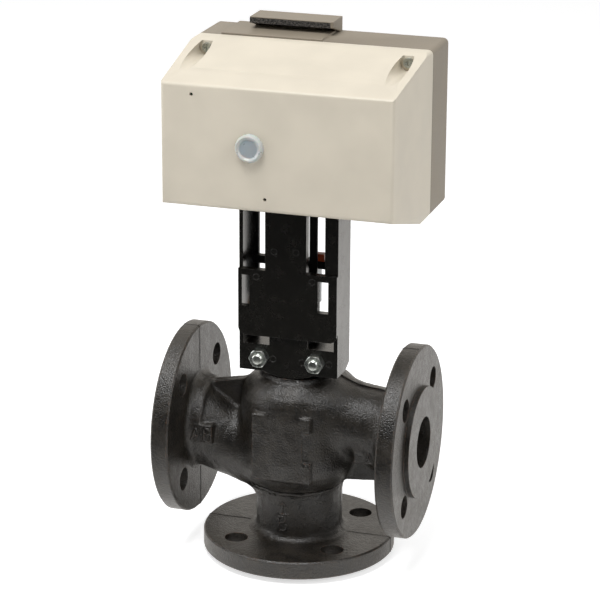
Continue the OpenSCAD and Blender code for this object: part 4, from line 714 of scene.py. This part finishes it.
class StageSettings(bpy.types.PropertyGroup):
    azimuth: FloatProperty(name="Azimuth", description="Camera's angle round the stem",
                           subtype="ANGLE", default=math.radians(17.7))
    elevation: FloatProperty(name="Elevation", description="Camera's angle over level",
                             subtype="ANGLE", default=math.radians(18.26))
    roll: FloatProperty(name="Roll", description="Camera's turn about its own line of sight",
                        subtype="ANGLE", default=math.radians(0.29))
    distance: FloatProperty(name="Distance", description="Camera's distance from what it looks at",
                            subtype="DISTANCE", unit="LENGTH", default=2.04353, min=0.5)
    lens: FloatProperty(name="Focal length", description="Camera's focal length in millimetres",
                        default=160.03, min=20)
    key_power: FloatProperty(name="Key light", description="Power of the light over the front",
                             unit="POWER", default=22.3)
    fill_power: FloatProperty(name="Fill lights", description="Power of each side light",
                              unit="POWER", default=9)
    world: FloatProperty(name="Surroundings", description="Strength of the surroundings' light",
                         default=0.5, min=0)


# Operators


def finish_nodes(finish, names):
    """Gives CAD nodes one finish all over."""
    for name in names:
        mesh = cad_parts[name].data
        mesh.materials.clear()
        mesh.materials.append(finish)
        mesh.polygons.foreach_set("material_index", np.zeros(len(mesh.polygons), np.int32))


def every_edge(middle):
    """The full radius on every edge."""
    return 1.0


class VALVE_OT_casting(bpy.types.Operator):
    """Cast skin over the body, parting ridges on the flanges, port letters and the enamel of all"""
    bl_idname = "valve.casting"
    bl_label = "Casting"

    def execute(self, context):
        casting = context.scene.valve_casting
        iron = cast_iron_paint(casting)
        allowance = casting.allowance_mm
        finish_nodes(iron, ["valve_body"])
        piece("casting_skin", casting_skin(allowance), iron, sharp_deg=60)
        piece("flange_parting_ridges", flange_beads(), iron)
        letters = []
        for mark in CAST_MARKS:
            letters += port_letters(*mark, allowance)
        piece("port_letters", letters, iron)
        return {"FINISHED"}


class VALVE_OT_yoke(bpy.types.Operator):
    """Yoke with softened edges and its ejector marks, U-bolt with rolled threads and chamfered nuts"""
    bl_idname = "valve.yoke"
    bl_label = "Yoke and clamp"

    def execute(self, context):
        enamel = yoke_enamel()
        softened("yoke", enamel, 0.7, every_edge)
        piece("yoke_ejector_marks", ejector_marks(), enamel)
        zinc = turned_metal("bright zinc plate", "aeb4b0", "d5d9d4", 0.3, depth_mm=0.012)
        u_bolt = piece("u_bolt_threaded", [(threaded_u(), False, True)], zinc, sharp_deg=70)
        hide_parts("u_bolt")
        low, high = (np.array(c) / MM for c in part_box("u_bolt_nuts"))
        flats, height = high[2] - low[2], high[1] - low[1]
        wire = [np.array(c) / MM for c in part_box("u_bolt")]
        wire_r = (wire[1][2] - wire[0][2]) / 2
        leg_x = wire[1][0] - wire_r
        middle_z, bore_r = (low[2] + high[2]) / 2, wire_r - 0.1
        nuts = [(hex_nut((side * leg_x, low[1], middle_z), flats, height, bore_r), True, True)
                for side in (-1, 1)]
        ob = piece("u_bolt_nuts_chamfered", nuts, zinc, sharp_deg=25)
        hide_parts("u_bolt_nuts")
        scale = moulded("black moulded scale", "161615", "1f1e1d", 0.45, 0.5, 0.03)
        finish_nodes(scale, ["travel_scale", "limit_switches", "guide_arm"])
        orange = moulded("orange moulded indicator", "bd4c26", "cf5c34", 0.35, 0.5, 0.02)
        finish_nodes(orange, ["stroke_indicator"])
        return {"FINISHED"}


def cover_edge_share(middle):
    """Full radius on the cover's edges at its two sides, less on its other edges, its holes and pockets
    and at the joint behind. The limits are millimetres."""
    side_x, joint_y, less = 87, 30, 0.22
    return 1.0 if abs(middle.x) > side_x and middle.y < joint_y else less


class VALVE_OT_housing(bpy.types.Operator):
    """Cover, base, gasket, foam strip and access plug"""
    bl_idname = "valve.housing"
    bl_label = "Housing"

    def execute(self, context):
        housing = context.scene.valve_housing
        shades = [tinted(housing.cover_colour, f) for f in (0.96, 1.03)]
        beige = moulded("beige ABS", *shades, 0.46, 0.7, 0.035)
        softened("cover", beige, housing.edge_mm, cover_edge_share)
        shades = [tinted(housing.base_colour, f) for f in (0.94, 1.06)]
        taupe = moulded("taupe ABS", *shades, 0.5, 0.9, 0.06)
        softened("actuator_base", taupe, 0.6, every_edge)
        rubber = moulded("black gasket rubber", "1c1b1a", "262422", 0.7, 0.8, 0.05)
        finish_nodes(rubber, ["cover_gasket", "bonnet_gasket"])
        finish_nodes(open_foam(), ["entry_seal"])
        finish_nodes(clear_moulding(), ["access_plug"])
        return {"FINISHED"}


class VALVE_OT_inside(bpy.types.Operator):
    """Finishes of the pieces inside the valve, the yoke and the housing"""
    bl_idname = "valve.inside"
    bl_label = "Inner pieces"

    def execute(self, context):
        turned = turned_metal("turned steel", "8d8f8f", "b3b5b5", 0.34, (1, 1, 14), 1.2)
        ground = turned_metal("ground steel", "a4a7a8", "c6c9ca", 0.2, (1, 1, 30), 1.6, 0.008)
        hobbed = turned_metal("hobbed steel", "8a8c8c", "a9abab", 0.36, (1, 8, 1), 1.0)
        bronze = turned_metal("turned bronze", "9a6f33", "b98d4a", 0.34, (1, 8, 1), 1.0)
        brass = turned_metal("hobbed brass", "b3944c", "cdb06a", 0.3, (1, 8, 1), 1.0)
        sheet = turned_metal("galvanised sheet steel", "9da2a2", "b9bebd", 0.42, (1, 1, 1), 5.0, 0.01)
        alloy = turned_metal("die-cast zinc alloy", "83878a", "9b9fa0", 0.48, (1, 1, 1), 1.4, 0.05)
        plate = turned_metal("zinc-plated screws", "aab0ac", "cfd3ce", 0.3, (1, 6, 1), 0.7)
        acetal = moulded("natural acetal", "d9d5c8", "e5e1d6", 0.4, 0.6, 0.02)
        pressed = moulded("pressed fluoropolymer", "dddbd4", "ebe9e2", 0.5, 0.8, 0.03)
        finish_nodes(turned, ["bonnet", "lower_seat_ring", "upper_seat_ring", "valve_plug", "plug_lock_nut"])
        finish_nodes(ground, ["valve_stem", "rack_spindle", "output_shaft", "idler_shaft"])
        finish_nodes(hobbed, ["rack_pinion", "idler_pinion", "motor_pinion"])
        finish_nodes(bronze, ["stem_guide_bush", "gland_nut", "spindle_bush", "output_bushes",
                              "idler_bushes"])
        finish_nodes(brass, ["output_gear", "idler_gear", "plate_pillars"])
        finish_nodes(sheet, ["front_gear_plate", "rear_gear_plate", "gear_motor"])
        finish_nodes(alloy, ["coupling_front", "coupling_rear", "bearing_block", "spindle_top_guide"])
        finish_nodes(plate, ["coupling_screws", "guide_screws", "plate_screws", "motor_screws",
                             "cover_screws", "yoke_screws"])
        finish_nodes(acetal, ["limit_cams", "board_spacers"])
        finish_nodes(pressed, ["stem_packing"])
        finish_nodes(board_laminate(), ["circuit_board", "terminal_block"])
        return {"FINISHED"}


# The studio's walls as gloss sees them: slightly warm white
WARM = (1.0, 0.945, 0.865, 1.0)


def white_paper():
    """The studio's white paper sweep. The camera, gloss and glass see it as plain white where nothing
    shades it, so its own light adds to what it is lit with. In front of the object, where the sweep
    ends in the dark room, gloss sees little of it."""
    mat = bpy.data.materials.new("white paper sweep")
    mat.use_nodes = True
    tree = mat.node_tree
    tree.nodes.clear()
    rays = add(tree, "ShaderNodeLightPath")
    where = add(tree, "ShaderNodeTexCoord").outputs["Object"]
    axis = add(tree, "ShaderNodeSeparateXYZ", {"Vector": where})
    front = span(tree, axis.outputs["Y"], -0.3, -0.12, 1.0, 0.0)
    ends = calc(tree, "MULTIPLY", rays.outputs["Is Glossy Ray"], front)
    white = blend_colours(tree, ends, (0.8, 0.8, 0.8, 1), (0.04, 0.04, 0.04, 1))
    paper = add(tree, "ShaderNodeBsdfDiffuse", {"Color": white}).outputs[0]
    tone = blend_colours(tree, rays.outputs["Is Camera Ray"], WARM, (1, 1, 1, 1))
    glow = add(tree, "ShaderNodeEmission", {"Color": tone, "Strength": 0.62}).outputs[0]
    lit = add(tree, "ShaderNodeAddShader", {0: paper, 1: glow}).outputs[0]
    seen = calc(tree, "MAXIMUM", rays.outputs["Is Camera Ray"],
                calc(tree, "MAXIMUM", rays.outputs["Is Glossy Ray"], rays.outputs["Is Transmission Ray"]))
    seen = calc(tree, "SUBTRACT", seen, ends)
    mixed = add(tree, "ShaderNodeMixShader", {0: seen, 1: paper, 2: lit}).outputs[0]
    add(tree, "ShaderNodeOutputMaterial", {"Surface": mixed})
    return mat


def studio_world(strength):
    """Pale surroundings: white to the camera, gloss and glass, but dim in front of the object, where
    the photographer's room is, so that black enamel stays black."""
    world = bpy.data.worlds.new("studio")
    bpy.context.scene.world = world
    world.use_nodes = True
    tree = world.node_tree
    tree.nodes.clear()
    where = add(tree, "ShaderNodeTexCoord").outputs["Generated"]
    axis = add(tree, "ShaderNodeSeparateXYZ", {"Vector": where})
    room = span(tree, axis.outputs["Y"], -0.75, 0.35, 0.12, 1.0, smooth=True)
    seen_room = span(tree, axis.outputs["Y"], -0.55, 0.15, 0.03, 1.0, smooth=True)
    rays = add(tree, "ShaderNodeLightPath")
    dimmed = calc(tree, "MULTIPLY", room, strength)
    dim = add(tree, "ShaderNodeBackground", {"Color": (1, 1, 1, 1), "Strength": dimmed})
    shine = add(tree, "ShaderNodeBackground", {"Color": WARM, "Strength": seen_room})
    white = add(tree, "ShaderNodeBackground", {"Color": (1, 1, 1, 1), "Strength": 1.0})
    bright = calc(tree, "MAXIMUM", rays.outputs["Is Glossy Ray"], rays.outputs["Is Transmission Ray"])
    first = add(tree, "ShaderNodeMixShader", {0: bright, 1: dim.outputs[0], 2: shine.outputs[0]}).outputs[0]
    last = add(tree, "ShaderNodeMixShader", {0: rays.outputs["Is Camera Ray"], 1: first,
                                             2: white.outputs[0]}).outputs[0]
    add(tree, "ShaderNodeOutputWorld", {"Surface": last})


def aimed(location, target, roll=0.0):
    """A matrix that puts a camera or lamp at location and points it at target."""
    location, target = np.array(location, float), np.array(target, float)
    back = location - target
    back /= np.linalg.norm(back)
    right = np.cross((0, 0, 1), back)
    right /= np.linalg.norm(right)
    up = np.cross(back, right)
    right, up = (math.cos(roll) * right + math.sin(roll) * up, math.cos(roll) * up - math.sin(roll) * right)
    m = np.eye(4)
    m[:3, 0], m[:3, 1], m[:3, 2], m[:3, 3] = right, up, back, location
    return Matrix(m.tolist())


def soft_lamp(name, location, target, size, power):
    """A square area lamp pointed at target."""
    lamp = bpy.data.lights.new(name, "AREA")
    lamp.shape, lamp.size, lamp.energy = "SQUARE", size, power
    ob = bpy.data.objects.new(name, lamp)
    ob.matrix_world = aimed(location, target)
    bpy.context.scene.collection.objects.link(ob)


class VALVE_OT_stage(bpy.types.Operator):
    """Floor, surroundings, soft lamps and the camera"""
    bl_idname = "valve.stage"
    bl_label = "Stage"

    def execute(self, context):
        stage = context.scene.valve_stage
        reach, level = 6, -0.0003
        corners = [(x * reach, y * reach, level) for x, y in ((-1, -1), (1, -1), (1, 1), (-1, 1))]
        mesh = bpy.data.meshes.new("floor")
        mesh.from_pydata(corners, [], [(0, 1, 2, 3)])
        floor = bpy.data.objects.new("floor", mesh)
        floor.data.materials.append(white_paper())
        context.scene.collection.objects.link(floor)
        studio_world(stage.world)
        middle, size = (0, 0, 0.22), 0.8
        soft_lamp("key light", (-0.2, -0.62, 1.7), middle, size, stage.key_power)
        soft_lamp("left light", (-1.5, -0.5, 0.6), middle, size, stage.fill_power)
        soft_lamp("right light", (1.35, -0.7, 1.1), middle, size, stage.fill_power * 1.1)
        camera = bpy.data.cameras.new("camera")
        camera.lens, camera.sensor_width, camera.clip_end = stage.lens, 36, 50
        ob = bpy.data.objects.new("camera", camera)
        a, e = stage.azimuth, stage.elevation
        target = np.array((-0.0002, 0, 0.2044))
        back = np.array((math.sin(a) * math.cos(e), -math.cos(a) * math.cos(e), math.sin(e)))
        ob.matrix_world = aimed(target + back * stage.distance, target, stage.roll)
        context.scene.collection.objects.link(ob)
        context.scene.camera = ob
        context.scene.view_settings.view_transform = "Standard"
        return {"FINISHED"}


STEPS = (VALVE_OT_stage, VALVE_OT_casting, VALVE_OT_yoke, VALVE_OT_housing, VALVE_OT_inside)


class VALVE_PT_panel(bpy.types.Panel):
    """Settings and steps of the valve"""
    bl_idname = "VALVE_PT_panel"
    bl_label = "Three-way valve"
    bl_space_type = "VIEW_3D"
    bl_region_type = "UI"
    bl_category = "Valve"

    def draw(self, context):
        for group in (context.scene.valve_casting, context.scene.valve_housing, context.scene.valve_stage):
            box = self.layout.box()
            for name in group.__annotations__:
                box.prop(group, name)
        for step in STEPS:
            self.layout.operator(step.bl_idname)


GROUPS = {"valve_casting": CastingSettings, "valve_housing": HousingSettings, "valve_stage": StageSettings}


def register():
    """Registers the classes and hangs the settings on the scene."""
    for cls in (*GROUPS.values(), *STEPS, VALVE_PT_panel):
        bpy.utils.register_class(cls)
    for name, cls in GROUPS.items():
        setattr(bpy.types.Scene, name, PointerProperty(type=cls))


def unregister():
    """Takes the settings off the scene and unregisters the classes."""
    for name in GROUPS:
        delattr(bpy.types.Scene, name)
    for cls in reversed((*GROUPS.values(), *STEPS, VALVE_PT_panel)):
        bpy.utils.unregister_class(cls)


def main():
    """Runs every step in order."""
    register()
    for step in STEPS:
        group, name = step.bl_idname.split(".")
        getattr(getattr(bpy.ops, group), name)()


if __name__ == "__main__":
    main()
